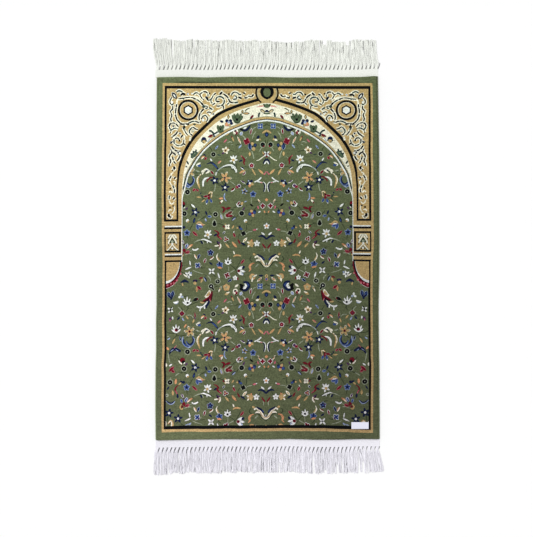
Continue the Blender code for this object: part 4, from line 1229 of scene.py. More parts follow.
def woven_half():
    """Triangles of the left half of the chart, and each one's yarn."""
    loops = []
    for inset, _ in RIM_LEVELS:
        rim = inset / SQUARE
        rows = np.linspace(TOP_ROW + rim, FOOT_ROW - rim, SIDE_POINTS)
        columns = np.linspace(-HALF_COLUMNS + rim, 0, HALF_END_POINTS)
        loops.append(np.vstack([
            np.column_stack([columns[::-1], np.full(HALF_END_POINTS, TOP_ROW + rim)]),
            np.column_stack([np.full(SIDE_POINTS - 1, -HALF_COLUMNS + rim), rows[1:]]),
            np.column_stack([columns[1:], np.full(HALF_END_POINTS - 1, FOOT_ROW - rim)]),
        ]))
    middle = np.column_stack([np.zeros(SIDE_POINTS), np.linspace(TOP_ROW, FOOT_ROW, SIDE_POINTS)])
    grid = np.stack(np.meshgrid(
        np.arange(-HALF_COLUMNS + GRID_ROOM[0], -MIRROR_ROOM, GRID_STEP[0]),
        np.arange(TOP_ROW + GRID_ROOM[1], FOOT_ROW - FOOT_ROOM, GRID_STEP[1]),
    ), -1).reshape(-1, 2)
    grid = grid + np.random.default_rng(4).uniform(-GRID_SHAKE, GRID_SHAKE, grid.shape)

    points, edges, count = [grid], [], len(grid)
    open_paths = [(path, False) for path in (*loops, middle)]
    for path, closed in open_paths + [(outline, True) for outline, _ in shapes]:
        points.append(path)
        first = np.arange(count, count + len(path))
        edges += list(zip(first[:-1].tolist(), first[1:].tolist()))
        if closed:
            edges.append((int(first[-1]), int(first[0])))
        count += len(path)
    found, _, faces, *_ = geometry.delaunay_2d_cdt(
        [Vector(point) for point in np.vstack(points)], edges, [], 0, MERGE_WITHIN)
    found = np.array([tuple(point) for point in found])
    faces = np.array([face for face in faces if len(face) == 3])
    corners = found[faces]
    centre = corners.mean(axis=1)
    area = np.cross(corners[:, 1] - corners[:, 0], corners[:, 2] - corners[:, 0])
    faces[area < 0] = faces[area < 0][:, ::-1]
    keep = (centre[:, 0] < 0) & (centre[:, 0] > -HALF_COLUMNS)
    keep &= (centre[:, 1] > TOP_ROW) & (centre[:, 1] < FOOT_ROW) & (np.abs(area) > 1e-7)
    return found, faces[keep], yarns_at(centre[keep])


def yarns_at(centre):
    """The yarn of each triangle: the last shape that its middle lies in, or the ground."""
    letters = list(YARNS)
    yarn = np.zeros(len(centre), int)
    order = np.argsort(centre[:, 1])
    rows = centre[order, 1]
    for outline, colour in shapes:
        first, last = np.searchsorted(rows, (outline[:, 1].min(), outline[:, 1].max()))
        near = order[first:last]
        x = centre[near, 0]
        near = near[(x > outline[:, 0].min()) & (x < outline[:, 0].max())]
        if not len(near):
            continue
        # Count the turns of the outline round each middle.
        x, y = centre[near, 0][:, None], centre[near, 1][:, None]
        ax, ay = outline.T
        bx, by = np.roll(outline, -1, axis=0).T
        left = (bx - ax) * (y - ay) - (x - ax) * (by - ay)
        turns = ((ay <= y) & (by > y) & (left > 0)).sum(1) - ((ay > y) & (by <= y) & (left < 0)).sum(1)
        yarn[near[turns != 0]] = letters.index(colour)
    return yarn


def whole(found, faces, yarn):
    """The half and its mirror image as one surface, in chart squares, facing upwards."""
    used, faces = np.unique(faces, return_inverse=True)
    found, faces = found[used], faces.reshape(-1, 3)
    found[np.abs(found[:, 0]) < 1e-4, 0] = 0.0
    shared = found[:, 0] == 0.0
    twin = np.arange(len(found))
    twin[~shared] = len(found) + np.arange((~shared).sum())
    points = np.vstack([found, found[~shared] * (-1, 1)])
    return points, np.vstack([faces[:, ::-1], twin[faces]]), np.concatenate([yarn, yarn])


# The frame of the design wanders by a part of a square: by column along the ends, by row down the sides.
HEAD_WANDER = (
    (-95, -0.5), (-84, -0.25), (-73, 0.05), (-62, 0.25), (-51, -0.2), (-40, 0.2), (-29, 0.45),
    (-18, 0.25), (-4, -0.1), (15, -0.25), (26, 0.0), (37, 0.0), (48, 0.65), (70, 0.65), (81, 0.75),
    (92, 0.4), (103, 0.5),
)
FOOT_WANDER = (
    (-95, 0.0), (-84, -0.35), (-73, -0.2), (-63, 0.4), (-50, 0.3), (-41, 0.1), (-28, 0.4), (-14, -0.1),
    (12, -0.15), (25, 0.1), (38, -0.4), (57, -0.6), (66, 0.0), (80, 0.3), (86, 1.2), (95, 1.6), (103, 1.6),
)
LEFT_WANDER = (
    (18, -0.2), (46, -0.4), (60, -0.25), (74, -0.7), (88, -0.35), (102, -0.1), (116, -0.3), (130, -0.1),
    (150, -0.2), (186, -0.15), (200, -0.45), (242, -0.45), (270, -0.15), (284, -0.15), (298, 0.45),
    (340, 0.1),
)
RIGHT_WANDER = (
    (18, 0.7), (32, 0.85), (46, 0.5), (60, 0.5), (74, 0.0), (88, -0.1), (102, -0.4), (130, -0.4),
    (150, -0.2), (165, 0.3), (186, -0.2), (214, 0.2), (228, 0.6), (256, 0.65), (270, 0.5), (298, 0.0),
    (326, -0.4), (340, -0.55),
)
# It does so near the edges only: the room to the edge in squares, and the share of the wander there.
FRAME_ROOM, FRAME_SHARE = (0, 5, 12, 30), (0, 1, 1, 0)

# Inside the frame the weave is a little out of true as well: by row, then how far aside at each of the
# inner columns, and how far lower. At the first and last of the columns and rows it is true again.
WEAVE_COLUMNS = (-101, -86, -62, -24, 24, 62, 86, 101)
INNER_COLUMNS = len(WEAVE_COLUMNS) - 2
FIRST_ROW, LAST_ROW = 8, 349
WEAVE_WANDER = (
    (21, -0.2, 0.3, 0.3, -0.1, -0.4, 0.2, 0.1, 0.2, 0.2, -0.3, 0.4, 0.2),
    (41, -0.2, 0.2, 0.1, -0.5, -0.5, 0.0, 0.4, 0.2, 0.3, -0.4, 0.0, 0.2),
    (61, -0.1, 0.1, 0.1, -0.9, -0.8, -0.4, 0.6, 0.2, 0.3, -0.5, -0.4, 0.3),
    (81, -0.1, 0.0, 0.3, -1.3, -0.8, -0.5, 0.5, 0.2, 0.4, -0.5, -0.5, 0.1),
    (101, -0.1, -0.2, 0.3, -1.3, -0.6, -0.3, 0.1, 0.1, 0.4, -0.4, -0.7, -0.3),
    (121, -0.1, -0.2, -0.1, -0.9, -0.5, -0.2, -0.1, -0.2, 0.5, -0.4, -0.9, -0.6),
    (141, -0.1, -0.3, -0.3, -0.7, -0.5, -0.2, -0.1, -0.3, 0.5, -0.4, -1.1, -0.6),
    (161, -0.2, -0.3, -0.2, -0.7, -0.5, -0.3, -0.1, -0.1, 0.4, -0.4, -1.2, -0.6),
    (181, -0.2, -0.3, 0.0, -0.7, -0.7, -0.3, -0.1, 0.1, 0.3, -0.4, -1.3, -0.7),
    (201, -0.1, -0.1, 0.0, -0.6, -0.6, -0.3, -0.4, -0.1, 0.2, -0.6, -1.4, -1.0),
    (221, 0.1, 0.2, 0.3, -0.5, -0.5, -0.2, -0.6, -0.2, 0.0, -0.6, -1.3, -1.2),
    (241, 0.1, 0.4, 0.8, -0.5, -0.4, -0.1, -0.6, 0.0, 0.1, -0.6, -1.1, -1.1),
    (261, 0.2, 0.4, 0.9, -0.5, -0.4, 0.0, -0.3, 0.2, 0.0, -0.6, -0.9, -0.7),
    (281, 0.4, 0.5, 0.7, -0.2, -0.5, -0.2, -0.2, 0.1, -0.2, -0.5, -0.8, -0.2),
    (301, 0.5, 0.5, 0.6, -0.2, -0.6, -0.5, -0.1, 0.1, 0.1, -0.3, -0.8, 0.1),
    (321, 0.5, 0.4, 0.5, -0.6, -0.7, -0.7, 0.0, 0.2, 0.2, -0.4, -0.7, 0.2),
    (341, 0.4, 0.3, 0.4, -0.9, -0.9, -0.8, 0.0, 0.3, 0.0, -0.4, -0.5, 0.5),
)


def wandered(columns, rows, first):
    """How far the weave is out of true at chart points, from a first column of its table."""
    wander = np.array(WEAVE_WANDER).T
    at_row = np.zeros((len(WEAVE_COLUMNS), len(rows)))
    for k in range(INNER_COLUMNS):
        at_row[k + 1] = np.interp(rows, [FIRST_ROW, *wander[0], LAST_ROW], [0, *wander[first + k], 0])
    k = np.clip(np.searchsorted(WEAVE_COLUMNS, columns) - 1, 0, INNER_COLUMNS)
    left, right = np.array(WEAVE_COLUMNS)[k], np.array(WEAVE_COLUMNS)[k + 1]
    share = np.clip((columns - left) / (right - left), 0, 1)
    point = np.arange(len(rows))
    return at_row[k, point] * (1 - share) + at_row[k + 1, point] * share


def frame_wander(room, at, is_first, one, other):
    """How far the frame wanders at a place along one edge or the other, by the room to that edge."""
    one, other = np.array(one).T, np.array(other).T
    wander = np.where(is_first, np.interp(at, *one), np.interp(at, *other))
    return np.interp(room, FRAME_ROOM, FRAME_SHARE) * wander


def placed(columns, rows):
    """The true rectangle's x and y of chart points. The mirror line drifts a little on the way down."""
    drift = np.interp(rows, *np.array(MIRROR_DRIFT).T)
    x = columns + drift * (1 - np.abs(columns) / HALF_COLUMNS)
    aside = frame_wander(HALF_COLUMNS - np.abs(x), rows, x < 0, LEFT_WANDER, RIGHT_WANDER)
    end_room = np.minimum(rows - TOP_ROW, FOOT_ROW - rows)
    lower = frame_wander(end_room, x, rows < MIDDLE_ROW, HEAD_WANDER, FOOT_WANDER)
    aside += wandered(x, rows, 1)
    lower += wandered(x, rows, 1 + INNER_COLUMNS)
    return (x + aside) * SQUARE, (MIDDLE_ROW - rows - lower) * SQUARE


def rolling(x, y):
    """The pile's slight rise and fall over the floor, as a share of it from -1 to 1."""
    return (np.sin(x * 9.1 + 1.3) * np.sin(y * 6.3 + 0.4) + 0.5 * np.sin(x * 21 + y * 17 + 2.0)
            + 0.5 * np.sin(y * 29 - x * 11)) / 2


def mesh_of(name, points, faces, smooth=True):
    mesh = bpy.data.meshes.new(name)
    mesh.from_pydata(np.asarray(points).tolist(), [], [list(face) for face in faces])
    mesh.update()
    if smooth:
        mesh.shade_smooth()
    else:
        mesh.shade_flat()
    obj = bpy.data.objects.new(name, mesh)
    bpy.context.scene.collection.objects.link(obj)
    return obj


PILE_HALF_WIDTH = RUG_WIDTH / 2 - SIDE_ROOM
PILE_HALF_LENGTH = RUG_LENGTH / 2
ROLLING_HEIGHT = 0.00025

points, faces, yarn = whole(*woven_half())
x, y = placed(*points.T)
inset = np.minimum(PILE_HALF_WIDTH - np.abs(x), PILE_HALF_LENGTH - np.abs(y))
rise = np.interp(inset, *np.array(RIM_LEVELS).T)
rise += ROLLING_HEIGHT * (rolling(x, y) - 0.6) * np.clip((inset - 0.003) / 0.02, 0, 1)
top = np.column_stack([*strayed(x, y), rise])

# The edge of the top: each step along it belongs to one triangle only, and follows the one before.
steps = dict.fromkeys(pair for a, b, c in faces.tolist() for pair in ((a, b), (b, c), (c, a)))
following = {a: b for a, b in steps if (b, a) not in steps}
rim_loop = [next(iter(following))]
while len(rim_loop) < len(following):
    rim_loop.append(following[rim_loop[-1]])
rim_loop = np.array(rim_loop)
count = len(rim_loop)

# From there a wall runs down to just over the floor, and then down and inwards to it.
rim = top[rim_loop]
outwards = np.column_stack([
    np.sign(x[rim_loop]) * (np.abs(x[rim_loop]) > PILE_HALF_WIDTH - 1e-4),
    np.sign(y[rim_loop]) * (np.abs(y[rim_loop]) > PILE_HALF_LENGTH - 1e-4),
])
lower = np.column_stack([rim[:, :2], np.full(count, BACK_EDGE)])
lowest = np.column_stack([rim[:, :2] - outwards * BACK_EDGE, np.zeros(count)])
first_lower = len(top)
rings = (rim_loop, first_lower + np.arange(count), first_lower + count + np.arange(count))
ahead = np.roll(np.arange(count), -1)
walls = [
    np.column_stack([upper[ahead], upper, under, under[ahead]]) for upper, under in zip(rings, rings[1:])]

# The flat back closes the rug from below, in triangles about 40 mm wide.
back_grid = np.stack(np.meshgrid(np.arange(-0.32, 0.33, 0.04), np.arange(-0.55, 0.56, 0.04)), -1)
back_points, _, back_triangles, *_ = geometry.delaunay_2d_cdt(
    [Vector(point) for point in np.vstack([lowest[:, :2], back_grid.reshape(-1, 2)])],
    [(i, (i + 1) % count) for i in range(count)], [], 1, 1e-7)
back = np.array([(point[0], point[1], 0.0) for point in back_points])
first_back = first_lower + 2 * count
back_faces = []
for face in back_triangles:
    a, b, c = (back[i, :2] for i in face)
    turned = (b[0] - a[0]) * (c[1] - a[1]) - (b[1] - a[1]) * (c[0] - a[0])
    back_faces.append([int(first_back + i) for i in (face if turned < 0 else face[::-1])])
all_points = np.vstack([top, lower, lowest, back])
pile_faces = faces.tolist() + np.vstack(walls).tolist() + back_faces
pile = mesh_of("pile", all_points, pile_faces)

# Each top face carries its yarn's colour, the walls that of the border, and the back the ground cotton.
GROUND_COTTON = (0.50, 0.46, 0.36)
shades = np.array(list(YARNS.values()))
face_shade = np.vstack([
    shades[yarn],
    np.tile(shades[0], (2 * count, 1)),
    np.tile(GROUND_COTTON, (len(back_faces), 1)),
])
tint = pile.data.attributes.new("tint", "FLOAT_COLOR", "CORNER")
corner_faces = np.repeat(np.arange(len(pile_faces)), [len(face) for face in pile_faces])
corner_shade = np.column_stack([face_shade[corner_faces], np.ones(len(corner_faces))])
tint.data.foreach_set("color", corner_shade.ravel())

# The top's own place in the picture of the weave, with the back laid beside it at a smaller size, and
# the walls spread out past the edges by 2 mm a ring.
TOP_SCALE, TOP_PLACE = (0.84, 0.86), (0.302, 0.5)
BACK_SCALE, BACK_PLACE = (-0.5, 0.5), (0.812, 0.32)
flat = pile.data.uv_layers.new(name="OFBake").data
corner_points = np.concatenate([np.asarray(face) for face in pile_faces])
spots = all_points[corner_points, :2] - RUG_CENTRE
spread_out = np.zeros((len(all_points), 2))
spread_out[first_lower:first_back] = np.vstack([outwards, 2 * outwards])
on_top = TOP_PLACE + (spots + spread_out[corner_points] * 0.002) * TOP_SCALE
on_back = BACK_PLACE + spots * BACK_SCALE
is_back = corner_faces >= len(pile_faces) - len(back_faces)
flat.foreach_set("uv", np.where(is_back[:, None], on_back, on_top).ravel())

weld = bmesh.new()
weld.from_mesh(pile.data)
bmesh.ops.remove_doubles(weld, verts=weld.verts, dist=2e-6)
weld.to_mesh(pile.data)
weld.free()


def node(tree, kind, inputs=None, **settings):
    """Add a node. Its inputs are values, or sockets to link, by name or by place."""
    made = tree.nodes.new(kind)
    for name, value in settings.items():
        setattr(made, name, value)
    for key, value in (inputs or {}).items():
        if isinstance(value, bpy.types.NodeSocket):
            tree.links.new(value, made.inputs[key])
        else:
            made.inputs[key].default_value = value
    return made


def calc(tree, operation, *values):
    return node(tree, "ShaderNodeMath", dict(enumerate(values)), operation=operation).outputs[0]


def product(tree, *values):
    total = values[0]
    for value in values[1:]:
        total = calc(tree, "MULTIPLY", total, value)
    return total


def spread(tree, value, low, high, to_low, to_high):
    """Carry a value from one range over to another, and stop at its ends."""
    inputs = {0: value, 1: low, 2: high, 3: to_low, 4: to_high}
    return node(tree, "ShaderNodeMapRange", inputs).outputs[0]


def vector(tree, x=0.0, y=0.0, z=0.0):
    return node(tree, "ShaderNodeCombineXYZ", {0: x, 1: y, 2: z}).outputs[0]


def split(tree, value):
    return node(tree, "ShaderNodeSeparateXYZ", {0: value}).outputs


def scaled(tree, value, by):
    return node(tree, "ShaderNodeVectorMath", {0: value, "Scale": by}, operation="SCALE").outputs[0]


def stretched(tree, place, scale):
    return node(tree, "ShaderNodeMapping", {"Vector": place, "Scale": scale}).outputs[0]


def cloud(tree, place, scale, detail):
    """Soft noise at a place, mostly between 0.3 and 0.7."""
    return node(tree, "ShaderNodeTexNoise", {"Vector": place, "Scale": scale, "Detail": detail}).outputs[0]


def shaded(tree, noise, low, high):
    """The tone that soft noise gives, from its low parts to its high ones."""
    return spread(tree, noise, 0.3, 0.7, low, high)


def material(name, roughness, **shader):
    """A material with its own shader: returns it, its node tree, the shader node and Object space."""
    made = bpy.data.materials.new(name)
    made.use_nodes = True
    surface = made.node_tree.nodes["Principled BSDF"]
    surface.inputs["Roughness"].default_value = roughness
    for key, value in shader.items():
        surface.inputs[key.replace("_", " ")].default_value = value
    place = node(made.node_tree, "ShaderNodeTexCoord").outputs["Object"]
    return made, made.node_tree, surface, place


def cover(tree, surface, colour, height, strength, deep):
    """Give the surface its colour, and bumps of a strength and a depth from a height."""
    tree.links.new(colour, surface.inputs["Base Color"])
    bump = node(tree, "ShaderNodeBump", {"Strength": strength, "Distance": deep, "Height": height})
    tree.links.new(bump.outputs[0], surface.inputs["Normal"])


wool, tree, surface, place = material(
    "Pile yarn", 0.95, Sheen_Weight=0.04, Sheen_Roughness=0.6, Specular_IOR_Level=0.04)
dyed = node(tree, "ShaderNodeAttribute", attribute_name="tint").outputs["Color"]
# Tufts stand in uneven rows, 2.0 mm across the rug and 1.7 mm along it, and each has its own tone.
tufts = node(tree, "ShaderNodeTexVoronoi", {
    "Vector": stretched(tree, place, (500, 590, 150)), "Scale": 1.0, "Randomness": 0.55})
lot = node(tree, "ShaderNodeSeparateColor", {0: tufts.outputs["Color"]}).outputs[0]
tuft_tone = spread(tree, lot, 0, 1, 0.80, 1.20)
# The nap lies this way and that, in small spots, in speckles and in broad patches.
nap = cloud(tree, place, 70.0, 3.0)
nap_tone = shaded(tree, nap, 0.90, 1.10)
patch_tone = shaded(tree, cloud(tree, place, 5.0, 2.0), 0.96, 1.04)
speckle_tone = shaded(tree, cloud(tree, place, 230.0, 2.0), 0.77, 1.23)
# One weft row is beaten up tighter than the next, which shows as fine streaks across the rug.
weft_tone = shaded(tree, cloud(tree, stretched(tree, place, (11, 310, 1)), 1.0, 2.0), 0.88, 1.12)
# The pile leans and the light falls from the upper left, so its colour is painted darker from left to
# right, the more so towards the foot: partly the pile's own lean, partly painted shade. Outside the tan
# band, just inside the edges, the border is painted lighter: on the left side as painted sheen near the
# head, turning a little darker near the foot; on the right side more so towards the foot; and along the foot.
axis = split(tree, place)
foot = spread(tree, axis[1], -0.5, 0.5, 1.0, 0.0)
left_tone = spread(tree, foot, 0, 1, 1.06, 0.94)
right_tone = spread(tree, foot, 0, 1, 0.86, 0.50)
across = spread(tree, axis[0], -0.25, 0.25, 0.0, 1.0)
lean_and_painted_shade = calc(tree, "ADD", calc(tree, "MULTIPLY", left_tone, calc(tree, "SUBTRACT", 1.0, across)),
           calc(tree, "MULTIPLY", right_tone, across))
# Around the middle of its length the pile is painted darker as well, as painted shade of the leaning nap.
from_middle = calc(tree, "ABSOLUTE", calc(tree, "SUBTRACT", foot, 0.5))
middle_tone = spread(tree, from_middle, 0.0, 0.3, 0.89, 1.0)
foot_edge = spread(tree, axis[1], -0.541, -0.546, 1.0, 1.2)
left_edge_sheen = spread(tree, axis[0], -0.332, -0.337, 1.0, spread(tree, foot, 0, 1, 1.12, 0.94))
right_edge = spread(tree, axis[0], 0.314, 0.324, 1.0, spread(tree, foot, 0, 1, 1.0, 1.14))
woven = scaled(tree, dyed, product(
    tree, tuft_tone, nap_tone, patch_tone, weft_tone, speckle_tone, lean_and_painted_shade, left_edge_sheen, right_edge,
    foot_edge, middle_tone))
# Towards the foot the yarns are a little less green.
cast = vector(tree, 1.0, spread(tree, foot, 0, 1, 1.05, 0.95), 1.0)
colour = node(tree, "ShaderNodeVectorMath", {0: woven, 1: cast}, operation="MULTIPLY").outputs[0]
tuft_height = calc(tree, "ADD", calc(tree, "MULTIPLY", tufts.outputs["Distance"], -1.0),
                   calc(tree, "MULTIPLY", nap, 0.5))
cover(tree, surface, colour, tuft_height, 0.6, 0.0006)
pile.data.materials.append(wool)

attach(pile, "root")
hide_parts("rug_body")


# ---- The overcast sides -----------------------------------------------------------------------------
# Each long side is bound by one thick wool yarn, wound round and round the edge of the weave in the
# green of the border. It runs over the whole length, and bends where the side bends.

ROLL_WIDTH = 0.005
ROLL_HEIGHT = 0.0052
# The roll is this much wider than its room, so that it touches the pile.
ROLL_SPARE = 0.0003
WINDING_STEP = 0.0019
WINDING_YARN = 0.00095
POINTS_A_TURN = 8.0
ROLL_POINTS = 90
CORE_POINTS = 120
# The core reaches this far past the middle of the yarn wound on it.
CORE_SPARE = 0.0001


def geometry_tree(name, **sockets):
    """A node group for a mesh: the group, what its input node gives, and the socket for its result."""
    tree = bpy.data.node_groups.new(name, "GeometryNodeTree")
    tree.interface.new_socket("Geometry", in_out="INPUT", socket_type="NodeSocketGeometry")
    for key, kind in sockets.items():
        tree.interface.new_socket(key.replace("_", " "), in_out="INPUT", socket_type="NodeSocket" + kind)
    tree.interface.new_socket("Geometry", in_out="OUTPUT", socket_type="NodeSocketGeometry")
    return tree, tree.nodes.new("NodeGroupInput").outputs, tree.nodes.new("NodeGroupOutput").inputs[0]


def grow(obj, tree, **values):
    """Run a node group on an object, then keep what it makes as the object's own plain mesh."""
    modifier = obj.modifiers.new(tree.name, "NODES")
    modifier.node_group = tree
    for item in tree.interface.items_tree:
        key = item.name.replace(" ", "_")
        if item.item_type == "SOCKET" and item.in_out == "INPUT" and key in values:
            modifier[item.identifier] = values[key]
    bpy.context.view_layer.update()
    graph = bpy.context.evaluated_depsgraph_get()
    evaluated = obj.evaluated_get(graph)
    made = bpy.data.meshes.new_from_object(evaluated, preserve_all_data_layers=True, depsgraph=graph)
    obj.modifiers.remove(modifier)
    obj.data = made
    obj.data.name = obj.name


def wire_of(name, points, edges):
    """An object of bare edges, for a node group to follow."""
    mesh = bpy.data.meshes.new(name)
    mesh.from_pydata(np.asarray(points).tolist(), edges, [])
    obj = bpy.data.objects.new(name, mesh)
    bpy.context.scene.collection.objects.link(obj)
    return obj


def resampled(tree, curve, count):
    return node(tree, "GeometryNodeResampleCurve", {"Curve": curve, "Count": count}).outputs[0]


def ellipse(tree, corners, wide, tall):
    """A closed profile of a few corners, half as wide and as tall as given."""
    circle = node(tree, "GeometryNodeCurvePrimitiveCircle", {"Resolution": corners, "Radius": 1.0}).outputs[0]
    size = vector(tree, wide, tall, 1.0)
    return node(tree, "GeometryNodeTransform", {"Geometry": circle, "Scale": size}).outputs[0]


def swept(tree, curve, profile):
    """A smooth closed solid, from a profile carried along a curve."""
    inputs = {"Curve": curve, "Profile Curve": profile, "Fill Caps": True}
    mesh = node(tree, "GeometryNodeCurveToMesh", inputs).outputs[0]
    return node(tree, "GeometryNodeSetShadeSmooth", {"Geometry": mesh, "Shade Smooth": True}).outputs[0]


def complete(tree, mesh, given, result):
    """End a node group with a plain mesh in the given material."""
    plain = node(tree, "GeometryNodeRealizeInstances", {0: mesh}).outputs[0]
    covered = node(tree, "GeometryNodeSetMaterial", {"Geometry": plain, "Material": given["Material"]})
    tree.links.new(covered.outputs[0], result)


# The yarn follows the edge in a coil, and a core fills the coil.
winding, given, result = geometry_tree(
    "Overcast yarn", Step="Float", Yarn_Radius="Float", Roll_Width="Float", Roll_Height="Float",
    Material="Material")
edge_curve = node(winding, "GeometryNodeMeshToCurve", {0: given["Geometry"]}).outputs[0]
length = node(winding, "GeometryNodeCurveLength", {0: edge_curve}).outputs[0]
turns = calc(winding, "DIVIDE", length, given["Step"])
fine = resampled(winding, edge_curve, calc(winding, "MULTIPLY", turns, POINTS_A_TURN))
share = node(winding, "GeometryNodeSplineParameter").outputs["Factor"]
angle = product(winding, share, turns, math.tau)
semi_x, semi_z = (
    calc(winding, "SUBTRACT", calc(winding, "MULTIPLY", given[size], 0.5), given["Yarn Radius"])
    for size in ("Roll Width", "Roll Height"))
bend = vector(winding, calc(winding, "MULTIPLY", semi_x, calc(winding, "COSINE", angle)), 0.0,
              calc(winding, "MULTIPLY", semi_z, calc(winding, "SINE", angle)))
coil = node(winding, "GeometryNodeSetPosition", {"Geometry": fine, "Offset": bend}).outputs[0]
coil_mesh = swept(winding, coil, ellipse(winding, 6, given["Yarn Radius"], given["Yarn Radius"]))
core_profile = ellipse(winding, 8, *(calc(winding, "ADD", semi, CORE_SPARE) for semi in (semi_x, semi_z)))
core_mesh = swept(winding, resampled(winding, edge_curve, CORE_POINTS), core_profile)
joined = node(winding, "GeometryNodeJoinGeometry")
for mesh in (core_mesh, coil_mesh):
    winding.links.new(mesh, joined.inputs[0])
complete(winding, joined.outputs[0], given, result)

# The wool is painted darker on the right side, as painted shade away from the light from the upper left,
# though less so towards the foot.
binding, tree, surface, place = material("Overcast wool", 0.85, Sheen_Weight=0.1, Specular_IOR_Level=0.2)
fibres = cloud(tree, stretched(tree, place, (1600, 5200, 1600)), 1.0, 2.0)
axis = split(tree, place)
right_low = product(tree, spread(tree, axis[0], -0.2, 0.2, 0, 1), spread(tree, axis[1], 0.55, -0.55, 0, 1))
tone = product(tree, shaded(tree, fibres, 0.85, 1.12), shaded(tree, cloud(tree, place, 240.0, 1.0), 0.9, 1.1),
               spread(tree, axis[0], -0.2, 0.3, 1.0, 0.58), spread(tree, right_low, 0, 1, 1.0, 1.15))
cover(tree, surface, scaled(tree, (0.245, 0.290, 0.150), tone), fibres, 0.5, 0.0003)

for side_name, hand, cad_node in (("overcast_left", -1, "side_left"), ("overcast_right", 1, "side_right")):
    along = np.linspace(-RUG_LENGTH / 2 + WINDING_YARN, RUG_LENGTH / 2 - WINDING_YARN, ROLL_POINTS)
    side_x, side_y = strayed(np.full(ROLL_POINTS, hand * (RUG_WIDTH / 2 - ROLL_WIDTH / 2)), along)
    path_points = np.column_stack([side_x, side_y, np.full(ROLL_POINTS, ROLL_HEIGHT / 2)])
    overcast = wire_of(side_name, path_points, [(i, i + 1) for i in range(ROLL_POINTS - 1)])
    grow(overcast, winding, Step=WINDING_STEP, Yarn_Radius=WINDING_YARN, Roll_Width=ROLL_WIDTH + ROLL_SPARE,
         Roll_Height=ROLL_HEIGHT, Material=binding)
    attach(overcast, "root")
    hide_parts(cad_node)


# ---- The woven ends and their fringe ----------------------------------------------------------------
# Past the pile the cotton warps are woven into a plain strip, gathered in slanting cords, and left to
# hang out loose. Each bundle of warps fans out into yarns that lie on the floor in two layers.

STRIP_WIDTH = 0.0235
STRIP_THICKNESS = 0.002
STRIP_GAP = 0.0003
STRIP_RIBS = 7
RIB_DEPTH = 0.00035
STRIP_STEPS = 160
BUNDLES = 55
# A bundle leaves the strip in a cord that slants sideways, and then its yarns fan out.
SLANT_LENGTH = 0.014
SLANT_SHIFT = 0.0055
CORD_WIDTH = 0.0074
FAN_START = 0.009
FAN_LENGTH = 0.012
LOWER_YARNS = 6
UPPER_YARNS = 4
YARN_WIDTH = 0.0026
YARN_HEIGHT = 0.0012
# The yarns start under the strip's edge, no higher than this.
ROOT_HEIGHT = 0.0011
ROOT_LENGTH = 0.002
# Whole bundles wave a little sideways, and single yarns crimp.
WAVE = 0.0006
WAVE_LENGTH = 0.070
WAVE_GROWTH = 0.02
CRIMP = 0.00028
# Far out the upper yarns sink between the lower ones.
SINKING = 0.0004
SINKING_START = 0.03
SINKING_LENGTH = 0.05
# The points of a yarn, as shares of its length.
YARN_SHARES = (-0.03, 0.0, 0.04, 0.08, 0.12, 0.16, 0.20, 0.26, 0.34, 0.44, 0.56, 0.68, 0.80, 0.90, 1.0)
# By chance a bundle reaches further or less far, swings sideways and waves out of step with the next,
# and its yarns start off their places, stray sideways and end unevenly.
REACH_CHANCE = (-0.0035, 0.001)
BUNDLE_SWING = 0.0032
WAVE_ACROSS = 0.110
PHASE_CHANCE = 0.3
PLACE_CHANCE = 0.18
YARN_STRAY = 0.0062
YARN_UNEVEN = 0.0034
# A short warp between two cords is painted dark, as a painted shadow in the gap between them.
SHADED_WARP = 0.0185
SHADED_SHARES = (0.85, 1.0, 1.0, 1.1, 1.3, 2.1)
# By place across the rug: how far the locks lean sideways and reach out, at the head and at the foot.
LOCK_ROWS = np.array((
    (-.352, -.0160, .1010, .0015, .0875), (-.330, -.0080, .1010, 0, .0885),
    (-.300, -.0020, .0955, -.0015, .0855), (-.230, .0015, .0965, .0020, .0835),
    (-.150, -.0010, .0950, -.0015, .0845), (-.080, .0015, .0945, .0015, .0820),
    (0, -.0010, .0930, -.0015, .0845), (.057, .0010, .0900, .0010, .0825),
    (.145, .0010, .0960, -.0010, .0855), (.230, -.0030, .0910, .0020, .0845),
    (.300, -.0075, .0970, .0070, .0860), (.350, -.0125, .0920, .0150, .0800),
))
# Some yarns are cut short: place across, how much shorter, and how wide the notch is to each side.
SHORT_AT = {
    1: ((0.174, 0.014, 0.005), (0.249, 0.014, 0.005), (0.349, 0.030, 0.004)),
    -1: ((-0.305, 0.034, 0.003), (0.042, 0.030, 0.003), (0.152, 0.036, 0.004), (0.224, 0.028, 0.003),
         (0.305, 0.034, 0.003), (0.187, 0.010, 0.006)),
}
# One turn of the plies in a yarn.
PLY_LENGTH = 0.0075


def stored(tree, source, name, value, data_type, domain):
    """Keep a value with the geometry under a name."""
    inputs = {"Geometry": source, "Name": name, "Value": value}
    made = node(tree, "GeometryNodeStoreNamedAttribute", inputs, data_type=data_type, domain=domain)
    return made.outputs[0]


def wave(tree, place, rate, phase):
    """A sine along a yarn."""
    return calc(tree, "SINE", calc(tree, "ADD", calc(tree, "MULTIPLY", place, rate), phase))


